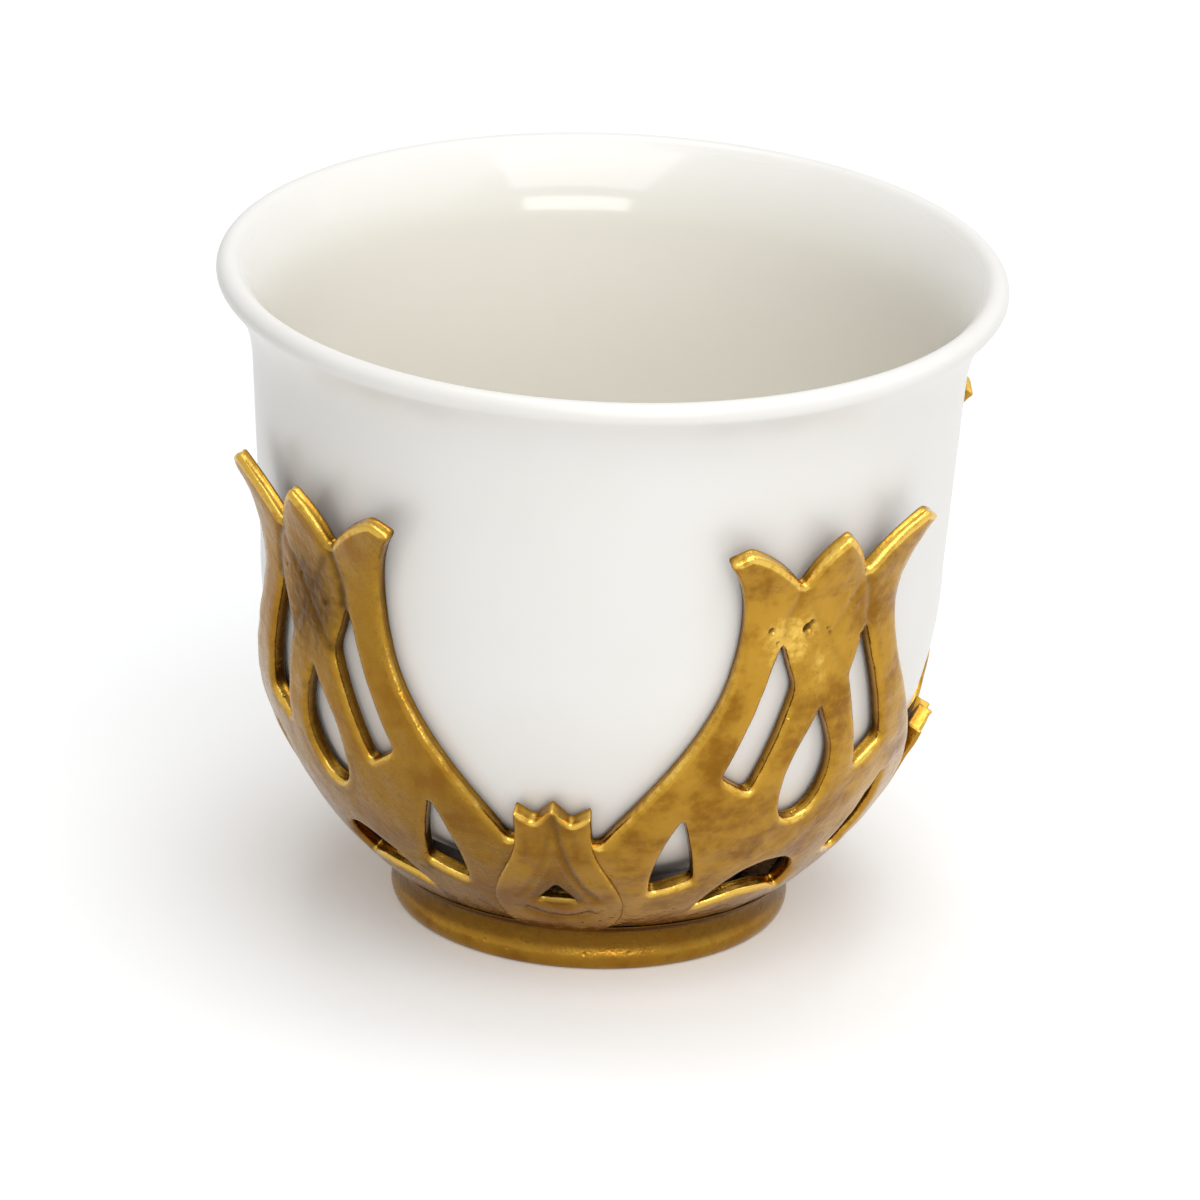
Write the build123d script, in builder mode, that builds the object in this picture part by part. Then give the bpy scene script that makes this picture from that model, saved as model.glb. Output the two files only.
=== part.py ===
from build123d import *
from math import cos, radians, sin, sqrt
import os

# Arabic coffee cup: a white porcelain cup that stands loose in an openwork metal holder.
# The holder has a foot ring, four large tulip panels and four small tulips between them.
# Millimetres, +Z up, origin on the axis of the cup at the ground under the foot.

# Porcelain cup
overall_height = 55.3
belly_radius = 27.85
belly_height = 31.0
wall_lean = 0.068
lip_flare = 2.4
lip_height = 7.8
lip_power = 3
cup_wall = 2.0
cup_bottom = 2.7
cup_foot_radius = 13.0
cup_foot_width = 2.0
cup_foot_height = 2.2
heel_height = 9.0
heel_depth = 4.5

# Foot ring of the holder
foot_radius = 16.3
foot_height = 4.0
foot_bead_height = 2.6
foot_bead_round = 0.5
foot_neck_depth = 0.4
foot_wall = 2.6
floor_thickness = 1.6

# Soft washer under the cup
pad_thickness = 0.8
pad_width = 4.0

# Metal of the holder and the room that it leaves round the cup
metal_thickness = 1.35
cup_clearance = 0.35
solder_gap = 0.1
bowl_start_radius = 16.2
bowl_rise = 1.7

# Outline of a large tulip: half widths from its middle line, drops from its petal tips
petal_rise = 4.1
petal_curl = 2.0
petal_curl_height = 9.0
petal_bulge_depth = 0.4
petal_tip_reach = 10.7
petal_tip_width = 1.7
petal_tip_drop = 0.9
middle_petal_half_width = 3.2
middle_petal_rise = 4.2
waist_half_width = 7.9
waist_drop = 6.7
hip_half_width = 10.3
hip_drop = 16.0
skirt_half_width = 15.3
skirt_drop = 27.3

# Openings of a large tulip, stacked up from the foot ring
lens_sill = 2.5
lens_height = 4.9
lens_lower_rise = 1.1
lens_half_width = 4.2
middle_band = 4.5
teardrop_height = 11.0
teardrop_belly_rise = 4.1
teardrop_half_width = 2.3
slot_rise = 3.7
slot_height = 13.7
slot_top_offset = 4.3
slot_knee_offset = 2.7
slot_knee_drop = 4.3
slot_inner_offset = 5.4
slot_outer_offset = 8.2
slot_slant = 1.9
slot_round = 0.6
crown_band = 4.7
flank_sill = 5.0
flank_height = 8.6
flank_top_offset = 10.2
flank_inner_offset = 6.6
flank_inner_rise = 1.3
flank_outer_offset = 9.4
flank_bulge_depth = 0.9
flank_round = 0.7

# Small tulip, heights from the top of the foot ring
small_height = 14.8
small_lap = 0.4
small_petal_rise = 1.7
small_petal_curl = 0.3
small_petal_curl_height = 3.0
small_notch_offset = 1.5
small_tip_offset = 3.2
small_tip_drop = 0.6
small_stem_half_width = 3.3
small_stem_height = 10.2
small_bulb_half_width = 5.2
small_bulb_height = 4.5
small_hole_sill = 3.9
small_hole_height = 2.1
small_hole_half_width = 1.6
small_hole_round = 0.4

# Places worked out from the sizes above
foot_neck_radius = foot_radius - foot_neck_depth
cup_foot_z = foot_height + pad_thickness
cup_base_z = cup_foot_z + cup_foot_height
cup_floor_z = cup_base_z + cup_bottom
heel_z = cup_base_z + heel_height
bowl_start_z = foot_height + bowl_rise
bowl_depth = (belly_height - bowl_start_z) / sqrt(1 - (bowl_start_radius / belly_radius) ** 2)
lip_slope = wall_lean + lip_power * lip_flare / lip_height
lip_end_z = overall_height - cup_wall / 2 * (1 + lip_slope / sqrt(1 + lip_slope**2))
lip_start_z = lip_end_z - lip_height
lens_bottom_z = foot_height + lens_sill
lens_top_z = lens_bottom_z + lens_height
teardrop_bottom_z = lens_top_z + middle_band
teardrop_top_z = teardrop_bottom_z + teardrop_height
slot_bottom_z = teardrop_bottom_z + slot_rise
slot_top_z = slot_bottom_z + slot_height
notch_z = slot_top_z + crown_band
petal_top_z = notch_z + petal_rise
flank_bottom_z = foot_height + flank_sill
flank_top_z = flank_bottom_z + flank_height
small_top_z = foot_height + small_height
small_notch_z = small_top_z - small_petal_rise
small_hole_z = foot_height + small_hole_sill
cut_reach = 2 * belly_radius
stations = 16

# Directions of the tulips round the axis, in degrees from +X
quarter = 90
panel_directions = {"front_right": -45, "back_right": 45, "back_left": 135, "front_left": 225}
small_directions = {"right": 0, "back": 90, "left": 180, "front": 270}


def bowl_radius(z):
    """Radius that cup and holder share: an elliptic bowl, a leaning wall and a turned-out lip."""
    bowl = belly_radius * sqrt(1 - (max(belly_height - z, 0) / bowl_depth) ** 2)
    wall = wall_lean * max(z - belly_height, 0)
    lip = lip_flare * (max(z - lip_start_z, 0) / lip_height) ** lip_power
    return bowl + wall + lip


def cup_radius(z):
    """Outside radius of the cup, which draws in from the holder towards its own small foot."""
    return bowl_radius(z) - heel_depth * (max(heel_z - z, 0) / heel_height) ** 2


def wall_point(radius, z, away, curl=0, curl_start=0, curl_height=1):
    """Point at a distance square to a round wall, moved out further where metal curls."""
    step = 0.01
    slope = (radius(z + step) - radius(z - step)) / (2 * step)
    square = sqrt(1 + slope**2)
    bend = curl * (max(z - curl_start, 0) / curl_height) ** 2
    return (radius(z) + away / square + bend, z - away * slope / square)


def heights(low, high):
    """Evenly spaced heights from low to high, one for each point of a profile."""
    return [low + (high - low) * i / (stations - 1) for i in range(stations)]


def metal_section(top_z, curl, curl_height):
    """Section of the holder's metal, from below the top of the foot ring to past a petal tip."""
    levels = heights(foot_height, top_z + metal_thickness)
    bend = (curl, top_z - curl_height, curl_height)
    inner = [wall_point(bowl_radius, z, cup_clearance, *bend) for z in levels]
    outer = [wall_point(bowl_radius, z, cup_clearance + metal_thickness, *bend) for z in levels]
    with BuildSketch(Plane.XZ) as section:
        with BuildLine():
            Spline(*inner)
            Line(inner[-1], outer[-1])
            Spline(*outer)
            Line(outer[0], inner[0])
        make_face()
    return section.sketch


def facing(direction):
    """Upright plane through the axis that faces outwards in a direction."""
    out = radians(direction)
    return Plane(origin=(0, 0, 0), x_dir=(-sin(out), cos(out), 0), z_dir=(cos(out), sin(out), 0))


def small_outline(direction, spread):
    """Face with the outline of a small tulip, spread by a gap: petals, stem and round bulb."""
    low = (0, foot_height - small_lap - spread)
    tip = (small_tip_offset + spread, small_top_z - small_tip_drop)
    with BuildSketch(facing(direction)) as outline:
        with BuildLine():
            Polyline(
                (0, small_top_z),
                (small_notch_offset, small_notch_z),
                tip,
            )
            Spline(
                tip,
                (small_stem_half_width + spread, foot_height + small_stem_height),
                (small_bulb_half_width + spread, foot_height + small_bulb_height),
                low,
                tangents=[(0, -1), (-1, 0)],
            )
            mirror(about=Plane.YZ)
        make_face()
    return outline.sketch


# Porcelain cup: bowl, leaning wall, rounded lip and a low foot that stands on the washer
outer_side = [wall_point(cup_radius, z, 0) for z in heights(cup_base_z, lip_end_z)]
inner_levels = heights(lip_end_z, cup_floor_z + cup_bottom)
inner_side = [wall_point(cup_radius, z, -cup_wall) for z in inner_levels]
lip_across = Vector(*inner_side[0]) - Vector(*outer_side[-1])
lip_along = Vector(lip_across.Y, -lip_across.X).normalized()
lip_crest = Vector(*outer_side[-1]) + lip_across / 2 + lip_along * (cup_wall / 2)
with BuildPart() as porcelain_cup:
    with BuildSketch(Plane.XZ):
        with BuildLine():
            Spline(*outer_side)
            ThreePointArc(outer_side[-1], lip_crest, inner_side[0])
            inner_wall = Spline(*inner_side)
            Spline(inner_wall @ 1, (0, cup_floor_z), tangents=[inner_wall % 1, (-1, 0)])
            Polyline(
                (0, cup_floor_z),
                (0, cup_base_z),
                (cup_foot_radius - cup_foot_width, cup_base_z),
                (cup_foot_radius - cup_foot_width, cup_foot_z),
                (cup_foot_radius, cup_foot_z),
                (cup_foot_radius, cup_base_z),
                outer_side[0],
            )
        make_face()
    revolve(axis=Axis.Z)

# Foot ring: rounded bead on the ground, a neck above it and a closed floor
bead_low = (foot_radius - foot_bead_round, 0)
bead_high = (foot_neck_radius, foot_bead_height)
with BuildPart() as foot_ring:
    with BuildSketch(Plane.XZ):
        with BuildLine():
            ThreePointArc(bead_low, (foot_radius, foot_bead_height / 2), bead_high)
            Polyline(
                bead_high,
                (foot_neck_radius, foot_height),
                (0, foot_height),
                (0, foot_height - floor_thickness),
                (foot_radius - foot_wall, foot_height - floor_thickness),
                (foot_radius - foot_wall, 0),
                bead_low,
            )
        make_face()
    revolve(axis=Axis.Z)

# Soft washer between the cup's foot and the floor of the foot ring
with BuildPart() as seat_pad:
    with BuildSketch(Plane.XY.offset(foot_height)):
        Circle(cup_foot_radius)
        Circle(cup_foot_radius - pad_width, mode=Mode.SUBTRACT)
    extrude(amount=pad_thickness)

# Large tulip panel: a curved quarter of metal, cut to the tulip's outline and openings
middle_tip = (0, notch_z + middle_petal_rise)
petal_notch = (middle_petal_half_width, notch_z)
petal_tip = (petal_tip_reach - petal_tip_width, petal_top_z)
petal_corner = (petal_tip_reach, petal_top_z - petal_tip_drop)
skirt_corner = (skirt_half_width, petal_top_z - skirt_drop)
lens_left = (-lens_half_width, lens_bottom_z)
lens_right = (lens_half_width, lens_bottom_z)
flank_top = (flank_top_offset, flank_top_z)
flank_inner = (flank_inner_offset, flank_bottom_z + flank_inner_rise)
flank_outer = (flank_outer_offset, flank_bottom_z)
with BuildPart() as tulip_panel:
    revolve(
        metal_section(petal_top_z, petal_curl, petal_curl_height),
        axis=Axis.Z,
        revolution_arc=quarter,
    )
    with BuildSketch(facing(quarter / 2)):
        with BuildLine():
            SagittaArc(middle_tip, petal_notch, petal_bulge_depth)
            SagittaArc(petal_notch, petal_tip, petal_bulge_depth)
            Line(petal_tip, petal_corner)
            Spline(
                petal_corner,
                (waist_half_width, petal_top_z - waist_drop),
                (hip_half_width, petal_top_z - hip_drop),
                skirt_corner,
            )
            Polyline(
                skirt_corner,
                (cut_reach, skirt_corner[1]),
                (cut_reach, foot_height),
                (0, foot_height),
            )
            mirror(about=Plane.YZ)
        make_face()
    extrude(amount=cut_reach, mode=Mode.INTERSECT)
    for direction in (0, quarter):
        extrude(small_outline(direction, solder_gap), amount=cut_reach, mode=Mode.SUBTRACT)
        with BuildSketch(facing(direction)):
            with Locations((0, small_notch_z)):
                over_crown = (2 * (small_tip_offset + solder_gap), cut_reach)
                Rectangle(*over_crown, align=(Align.CENTER, Align.MIN))
        extrude(amount=cut_reach, mode=Mode.SUBTRACT)
    with BuildSketch(facing(quarter / 2)):
        with BuildLine():
            Spline(
                (0, teardrop_top_z),
                (teardrop_half_width, teardrop_bottom_z + teardrop_belly_rise),
                (0, teardrop_bottom_z),
                tangents=[(teardrop_half_width, -teardrop_height / 2), (-1, 0)],
            )
            mirror(about=Plane.YZ)
        make_face()
        with BuildLine():
            ThreePointArc(lens_left, (0, lens_top_z), lens_right)
            ThreePointArc(lens_right, (0, lens_bottom_z + lens_lower_rise), lens_left)
        make_face()
    extrude(amount=cut_reach, mode=Mode.SUBTRACT)
    with BuildSketch(facing(quarter / 2)) as slots:
        Polygon(
            (slot_top_offset, slot_top_z),
            (slot_knee_offset, slot_top_z - slot_knee_drop),
            (slot_inner_offset, slot_bottom_z),
            (slot_outer_offset, slot_bottom_z + slot_slant),
            align=None,
        )
        fillet(slots.vertices(), slot_round)
        mirror(about=Plane.YZ)
    extrude(amount=cut_reach, mode=Mode.SUBTRACT)
    with BuildSketch(facing(quarter / 2)) as flank_holes:
        with BuildLine():
            Polyline(flank_top, flank_inner, flank_outer)
            SagittaArc(flank_top, flank_outer, flank_bulge_depth)
        make_face()
        fillet(flank_holes.vertices(), flank_round)
        mirror(about=Plane.YZ)
    extrude(amount=cut_reach, mode=Mode.SUBTRACT)

# Small tulip: flush with the panels beside it and lapped over the neck of the foot ring
with BuildPart() as small_tulip:
    revolve(
        metal_section(small_top_z, small_petal_curl, small_petal_curl_height),
        axis=Axis.Z,
        revolution_arc=quarter,
    )
    extrude(small_outline(quarter / 2, 0), amount=cut_reach, mode=Mode.INTERSECT)
    with BuildSketch(facing(quarter / 2)) as small_hole:
        Polygon(
            (0, small_hole_z + small_hole_height),
            (-small_hole_half_width, small_hole_z),
            (small_hole_half_width, small_hole_z),
            align=None,
        )
        fillet(small_hole.vertices(), small_hole_round)
    extrude(amount=cut_reach, mode=Mode.SUBTRACT)
    with BuildSketch(Plane.XY.offset(foot_height)):
        Circle(foot_neck_radius + solder_gap)
    extrude(amount=-foot_height, mode=Mode.SUBTRACT)

# Each piece is written under its own name, the tulips turned to their places
os.makedirs("parts", exist_ok=True)
porcelain_cup.part.label = "porcelain_cup"
foot_ring.part.label = "foot_ring"
seat_pad.part.label = "seat_pad"
export_step(porcelain_cup.part, "parts/porcelain_cup.step")
export_step(foot_ring.part, "parts/foot_ring.step")
export_step(seat_pad.part, "parts/seat_pad.step")


def place_round(piece, name, directions):
    """Turn copies of a tulip to their directions and write each one under its own name."""
    for side, direction in directions.items():
        with BuildPart() as placed:
            add(piece, rotation=(0, 0, direction - quarter / 2))
        placed.part.label = f"{name}_{side}"
        export_step(placed.part, f"parts/{name}_{side}.step")


place_round(tulip_panel.part, "tulip_panel", panel_directions)
place_round(small_tulip.part, "small_tulip", small_directions)
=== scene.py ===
"""Looks of an Arabic coffee cup: white porcelain that stands loose in an openwork gold holder.

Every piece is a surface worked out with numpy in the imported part's own frame: +Z up, with the
origin on the axis of the cup at the ground under the foot. Sizes are in millimetres and become
metres when a mesh is made.
"""

import logging
import math
from dataclasses import dataclass, field
from enum import Enum
from typing import Callable, Sequence, Union

import bpy
import numpy as np
from mathutils import Matrix, Vector
from mathutils.geometry import delaunay_2d_cdt


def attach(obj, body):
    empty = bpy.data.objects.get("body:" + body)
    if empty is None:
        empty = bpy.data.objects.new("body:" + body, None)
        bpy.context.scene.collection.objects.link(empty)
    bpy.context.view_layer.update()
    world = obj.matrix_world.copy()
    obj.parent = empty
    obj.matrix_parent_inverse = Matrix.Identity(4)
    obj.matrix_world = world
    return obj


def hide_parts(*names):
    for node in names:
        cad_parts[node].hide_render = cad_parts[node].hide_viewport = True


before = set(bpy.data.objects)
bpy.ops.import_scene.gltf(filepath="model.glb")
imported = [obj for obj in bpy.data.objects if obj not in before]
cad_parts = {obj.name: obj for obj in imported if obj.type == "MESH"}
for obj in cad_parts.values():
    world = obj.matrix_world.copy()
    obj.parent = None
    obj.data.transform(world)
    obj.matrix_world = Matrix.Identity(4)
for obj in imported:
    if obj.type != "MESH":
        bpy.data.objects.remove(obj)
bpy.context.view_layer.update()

LOG = logging.getLogger("coffee_cup")
METRES_PER_MM = 0.001
MM_PER_METRE = 1000.0
BLOCK = 1500
TINY = 1e-12
# Painted darkening: patina in recesses, and painted shade on cut walls that don't face up, on the
# foot ring and on the panels.
RECESS_AND_SHADE = "recess"
# Painted brightening: wear on rubbed edges, and painted highlights on edges and ledges that face
# up, on panel crowns and on the foot ring's bead.
WEAR_AND_HIGHLIGHT = "rub"
BISQUE = "bisque"
# Painted shade inside the cup.
INSIDE_SHADE = "inside_shade"

Array = np.ndarray
Colour = tuple[float, float, float]
Place = tuple[float, float]


class Body(Enum):
    """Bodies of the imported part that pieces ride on."""

    HOLDER = "holder"
    WASHER = "washer"
    CUP = "cup"


class Slot(Enum):
    """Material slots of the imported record."""

    PORCELAIN = "porcelain"
    GOLD_METAL = "gold_metal"
    SEAT_PAD = "seat_pad"


class Side(Enum):
    """Places of the tulips round the axis, in degrees from +X."""

    FRONT_RIGHT = -45.0
    BACK_RIGHT = 45.0
    BACK_LEFT = 135.0
    FRONT_LEFT = 225.0
    RIGHT = 0.0
    BACK = 90.0
    LEFT = 180.0
    FRONT = 270.0

    @property
    def label(self) -> str:
        """The side as it stands in the names of pieces and nodes."""
        return self.name.lower()


PANEL_SIDES = (Side.FRONT_RIGHT, Side.BACK_RIGHT, Side.BACK_LEFT, Side.FRONT_LEFT)
SMALL_SIDES = (Side.RIGHT, Side.BACK, Side.LEFT, Side.FRONT)


def spline(
    points: Sequence[Sequence[float]],
    start: Sequence[float] | None = None,
    finish: Sequence[float] | None = None,
    count: int = 160,
) -> Array:
    """Smooth curve through points, with slope and curvature that run on without a break.

    The parameter is the length of the chords. Between two points the curve is a cubic set by
    its slopes there, and the inner slopes are the ones that make the curvatures agree. An end's
    slope is that of the cubic through the four points nearest to it, turned to a direction if
    one is given.

    Args:
        points: Points that the curve goes through.
        start: Direction at the first point, if it is fixed.
        finish: Direction at the last point, if it is fixed.
        count: Number of points returned.

    Returns:
        Points along the curve, one row each.
    """
    knots = np.asarray(points, float)
    gaps = np.linalg.norm(np.diff(knots, axis=0), axis=1)
    at = np.concatenate([[0.0], np.cumsum(gaps)])

    def end_slope(times: Array, places: Array, direction: Sequence[float] | None) -> Array:
        """Slope at the first of a few points, turned to a direction if there is one.

        Args:
            times: Parameter of each point.
            places: The points.
            direction: Direction of the slope, if it is fixed.

        Returns:
            The slope.
        """
        slope = np.linalg.solve(np.vander(times - times[0], increasing=True), places)[1]
        if direction is None:
            return slope
        turned = np.asarray(direction, float)
        return turned * np.linalg.norm(slope) / np.linalg.norm(turned)

    first = end_slope(at[:4], knots[:4], start)
    last = end_slope(at[::-1][:4], knots[::-1][:4], finish)
    size = len(knots)
    system = np.eye(size)
    sides = np.zeros_like(knots)
    inner = np.arange(1, size - 1)
    system[inner, inner - 1] = 1 / gaps[:-1]
    system[inner, inner] = 2 / gaps[:-1] + 2 / gaps[1:]
    system[inner, inner + 1] = 1 / gaps[1:]
    steps = np.diff(knots, axis=0) / gaps[:, None] ** 2
    sides[inner] = 3 * (steps[:-1] + steps[1:])
    sides[0], sides[-1] = first, last
    slopes = np.linalg.solve(system, sides)
    where = np.linspace(0, at[-1], count)
    span = np.clip(np.searchsorted(at, where, side="right") - 1, 0, size - 2)
    width = gaps[span][:, None]
    part = (where - at[span])[:, None] / width
    return (
        (1 + 2 * part) * (1 - part) ** 2 * knots[span]
        + part * (1 - part) ** 2 * width * slopes[span]
        + part**2 * (3 - 2 * part) * knots[span + 1]
        + part**2 * (part - 1) * width * slopes[span + 1]
    )


def arc(
    start: Sequence[float], middle: Sequence[float], finish: Sequence[float], count: int = 80
) -> Array:
    """Circular arc through three points.

    Its centre is as far from all three, which is two linear equations, and the angle runs
    evenly from the first point past the second to the third.

    Args:
        start: First point.
        middle: A point on the way.
        finish: Last point.
        count: Number of points returned.

    Returns:
        Points along the arc, one row each.
    """
    a, b, c = (np.asarray(p, float) for p in (start, middle, finish))
    centre = np.linalg.solve(2 * np.array([b - a, c - a]), [b @ b - a @ a, c @ c - a @ a])
    angles = [math.atan2(*(p - centre)[::-1]) for p in (a, b, c)]
    turn = (angles[2] - angles[0]) % math.tau
    if (angles[1] - angles[0]) % math.tau > turn:
        turn -= math.tau
    sweep = angles[0] + np.linspace(0, turn, count)
    radius = np.linalg.norm(a - centre)
    return centre + radius * np.stack([np.cos(sweep), np.sin(sweep)], axis=-1)


def bowed(start: Sequence[float], finish: Sequence[float], bulge: float) -> Array:
    """Arc between two points that stands off its chord, to the left where bulge is positive.

    Args:
        start: First point.
        finish: Last point.
        bulge: Height of the arc over its chord.

    Returns:
        Points along the arc, one row each.
    """
    a, b = np.asarray(start, float), np.asarray(finish, float)
    along = (b - a) / np.linalg.norm(b - a)
    return arc(a, (a + b) / 2 + bulge * np.array([-along[1], along[0]]), b)


def evenly(points: Array, step: float, closed: bool) -> Array:
    """Points at even distances along a line of points.

    Args:
        points: Line of points, one row each.
        step: Distance between the new points.
        closed: Whether the last point joins the first.

    Returns:
        The new points; a closed line's first point isn't repeated at its end.
    """
    line = np.concatenate([points, points[:1]]) if closed else points
    along = np.concatenate([[0.0], np.cumsum(np.linalg.norm(np.diff(line, axis=0), axis=1))])
    count = max(8, round(along[-1] / step))
    where = np.linspace(0, along[-1], count, endpoint=not closed)
    return np.stack([np.interp(where, along, line[:, k]) for k in range(2)], axis=-1)


def softened(points: Array, reach: float, step: float, closed: bool) -> Array:
    """Line of points with its corners rounded, as a weighted mean of the points near each one.

    The weights fall off as a bell curve along the line, so straight runs stay where they are.
    The line is first resampled at an eighth of the reach, and the bell ends at three reaches.

    Args:
        points: Line of points, one row each.
        reach: Length along the line over which the bell falls off.
        step: Distance between the points returned.
        closed: Whether the last point joins the first.

    Returns:
        Points of the rounded line.
    """
    per_reach = 8
    half = 3 * per_reach
    dense = evenly(points, reach / per_reach, closed)
    weights = np.exp(-0.5 * (np.arange(-half, half + 1) / per_reach) ** 2)
    weights /= weights.sum()
    if closed:
        padded = np.concatenate([dense[-half:], dense, dense[:half]])
    else:
        padded = np.concatenate(
            [2 * dense[0] - dense[half:0:-1], dense, 2 * dense[-1] - dense[-2 : -half - 2 : -1]]
        )
    columns = [np.convolve(padded[:, k], weights, mode="valid") for k in range(2)]
    return evenly(np.stack(columns, axis=-1), step, closed)


def spread(points: Array, step: float, turn: float) -> Array:
    """Open line of points thinned so that none is over a step or a turn from the next.

    Args:
        points: Finely spaced line of points.
        step: Longest distance between the points returned.
        turn: Largest turn between them, in degrees.

    Returns:
        The chosen points, with both ends kept.
    """
    runs = np.diff(points, axis=0)
    lengths = np.linalg.norm(runs, axis=1)
    headings = np.unwrap(np.arctan2(runs[:, 1], runs[:, 0]))
    turns = np.abs(np.diff(headings, prepend=headings[:1]))
    cost = np.concatenate([[0.0], np.cumsum(lengths / step + turns / math.radians(turn))])
    where = np.linspace(0, cost[-1], math.ceil(cost[-1]) + 1)
    return np.stack([np.interp(where, cost, points[:, k]) for k in range(2)], axis=-1)


def distance(points: Array, line: Array, closed: bool) -> Array:
    """Distance of each point from a line of points, measured to its straight pieces.

    Args:
        points: Points, one row each.
        line: Points of the line.
        closed: Whether the line's last point joins its first.

    Returns:
        One distance for each point.
    """
    ends = np.roll(line, -1, axis=0) if closed else line[1:]
    starts = line if closed else line[:-1]
    along = ends - starts
    square = np.maximum((along**2).sum(axis=1), TINY)
    found = []
    for block in np.array_split(points, max(1, len(points) // BLOCK)):
        apart = block[:, None, :] - starts
        share = np.clip((apart * along).sum(axis=2) / square, 0, 1)
        found.append(((apart - share[:, :, None] * along) ** 2).sum(axis=2).min(axis=1))
    return np.sqrt(np.concatenate(found))


def within(points: Array, rings: Sequence[Array]) -> Array:
    """Whether each point lies in the area between closed rings, by counting crossings.

    Args:
        points: Points, one row each.
        rings: The outer ring and the rings of the openings.

    Returns:
        True for each point that an odd number of ring edges lies to the right of.
    """
    starts = np.concatenate(rings)
    ends = np.concatenate([np.roll(ring, -1, axis=0) for ring in rings])
    rise = np.where(ends[:, 1] == starts[:, 1], TINY, ends[:, 1] - starts[:, 1])
    found = []
    for block in np.array_split(points, max(1, len(points) // BLOCK)):
        level = block[:, 1:2]
        spans = (starts[:, 1] > level) != (ends[:, 1] > level)
        cross = starts[:, 0] + (level - starts[:, 1]) / rise * (ends[:, 0] - starts[:, 0])
        found.append((spans & (block[:, :1] < cross)).sum(axis=1) % 2 == 1)
    return np.concatenate(found)


def ripple(points: Array, wavelength: float, seed: int) -> Array:
    """Gentle unevenness from -1 to 1: a mean of sine waves in random directions.

    Args:
        points: Points that the waves pass over.
        wavelength: Usual length of a wave.
        seed: Number that the directions and phases are drawn from.

    Returns:
        One height for each point.
    """
    count = 14
    draw = np.random.default_rng(seed)
    heading = draw.uniform(0, math.tau, count)
    pitch = math.tau / (wavelength * draw.uniform(0.6, 1.6, count))
    phase = draw.uniform(0, math.tau, count)
    waves = np.stack([np.cos(heading), np.sin(heading)]) * pitch
    return np.sin(points @ waves + phase).sum(axis=1) / math.sqrt(2 * count)


def bell(apart: Array, width: float) -> Array:
    """Bell curve of a distance d and a width w: exp(-(d / w) ** 2)."""
    return np.exp(-((apart / width) ** 2))


def folded(flat: Array) -> Array:
    """Flat places with the left half laid over the right half."""
    return np.stack([np.abs(flat[:, 0]), flat[:, 1]], axis=-1)


def mirrored(right: Array) -> Array:
    """Closed ring of a right half, whose ends lie on the middle line, and its mirror image."""
    return np.concatenate([right, right[-2:0:-1] * [-1, 1]])


@dataclass(frozen=True)
class Spot:
    """Oval spot on a tulip's face, strongest in its middle."""

    middle: Place
    widths: Place
    strength: float = 1.0

    def over(self, flat: Array) -> Array:
        """Strength at each flat place: a bell curve sideways times one in height."""
        apart = (flat - self.middle) / self.widths
        return self.strength * np.exp(-(apart**2).sum(axis=1))


@dataclass
class Surface:
    """Vertices, faces and painted values of one piece, gathered before a mesh is made."""

    points: Array
    triangles: Array
    quads: Array
    values: dict[str, Array] = field(default_factory=dict)

    def turned(self, degrees: float) -> "Surface":
        """The same surface turned about the axis of the cup.

        Args:
            degrees: Angle of the turn, counter-clockwise from above.

        Returns:
            The turned surface, with the same faces and painted values.
        """
        c, s = math.cos(math.radians(degrees)), math.sin(math.radians(degrees))
        turn = np.array([[c, s, 0.0], [-s, c, 0.0], [0.0, 0.0, 1.0]])
        return Surface(self.points @ turn, self.triangles, self.quads, self.values)

    def paint(self, label: str, rows: Array, segments: int) -> None:
        """Paint one value on each row of a lathed surface, and on a pole that of its own row."""
        self.values[label] = np.concatenate([np.repeat(rows, segments), rows[[0, -1]]])

    def piece(self, name: str) -> bpy.types.Object:
        """Make the surface a smooth-shaded object at the origin.

        Args:
            name: Name of the piece.

        Returns:
            The new object, in metres.
        """
        mesh = bpy.data.meshes.new(name)
        corners = np.concatenate([self.triangles.ravel(), self.quads.ravel()]).astype(np.int32)
        first_quad = self.triangles.size
        starts = [np.arange(0, first_quad, 3), np.arange(first_quad, len(corners), 4)]
        starts = np.concatenate(starts).astype(np.int32)
        mesh.vertices.add(len(self.points))
        mesh.vertices.foreach_set("co", (self.points * METRES_PER_MM).astype(np.float32).ravel())
        mesh.loops.add(len(corners))
        mesh.loops.foreach_set("vertex_index", corners)
        mesh.polygons.add(len(starts))
        mesh.polygons.foreach_set("loop_start", starts)
        mesh.update(calc_edges=True)
        mesh.shade_smooth()
        for label, numbers in self.values.items():
            layer = mesh.attributes.new(label, "FLOAT", "POINT")
            layer.data.foreach_set("value", numbers.astype(np.float32))
        made = bpy.data.objects.new(name, mesh)
        bpy.context.scene.collection.objects.link(made)
        return made


def carried(profile: Array, segments: int) -> Array:
    """Points (radius cos a, radius sin a, height) of a profile at evenly spaced angles a.

    Args:
        profile: Radius and height of each point.
        segments: Number of angles.

    Returns:
        Points in space, all angles of one point of the profile after another.
    """
    angle = np.linspace(0, math.tau, segments, endpoint=False)
    radius, height = profile[:, :1], np.broadcast_to(profile[:, 1:], (len(profile), segments))
    columns = [radius * np.cos(angle), radius * np.sin(angle), height]
    return np.stack(columns, axis=-1).reshape(-1, 3)


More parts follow.
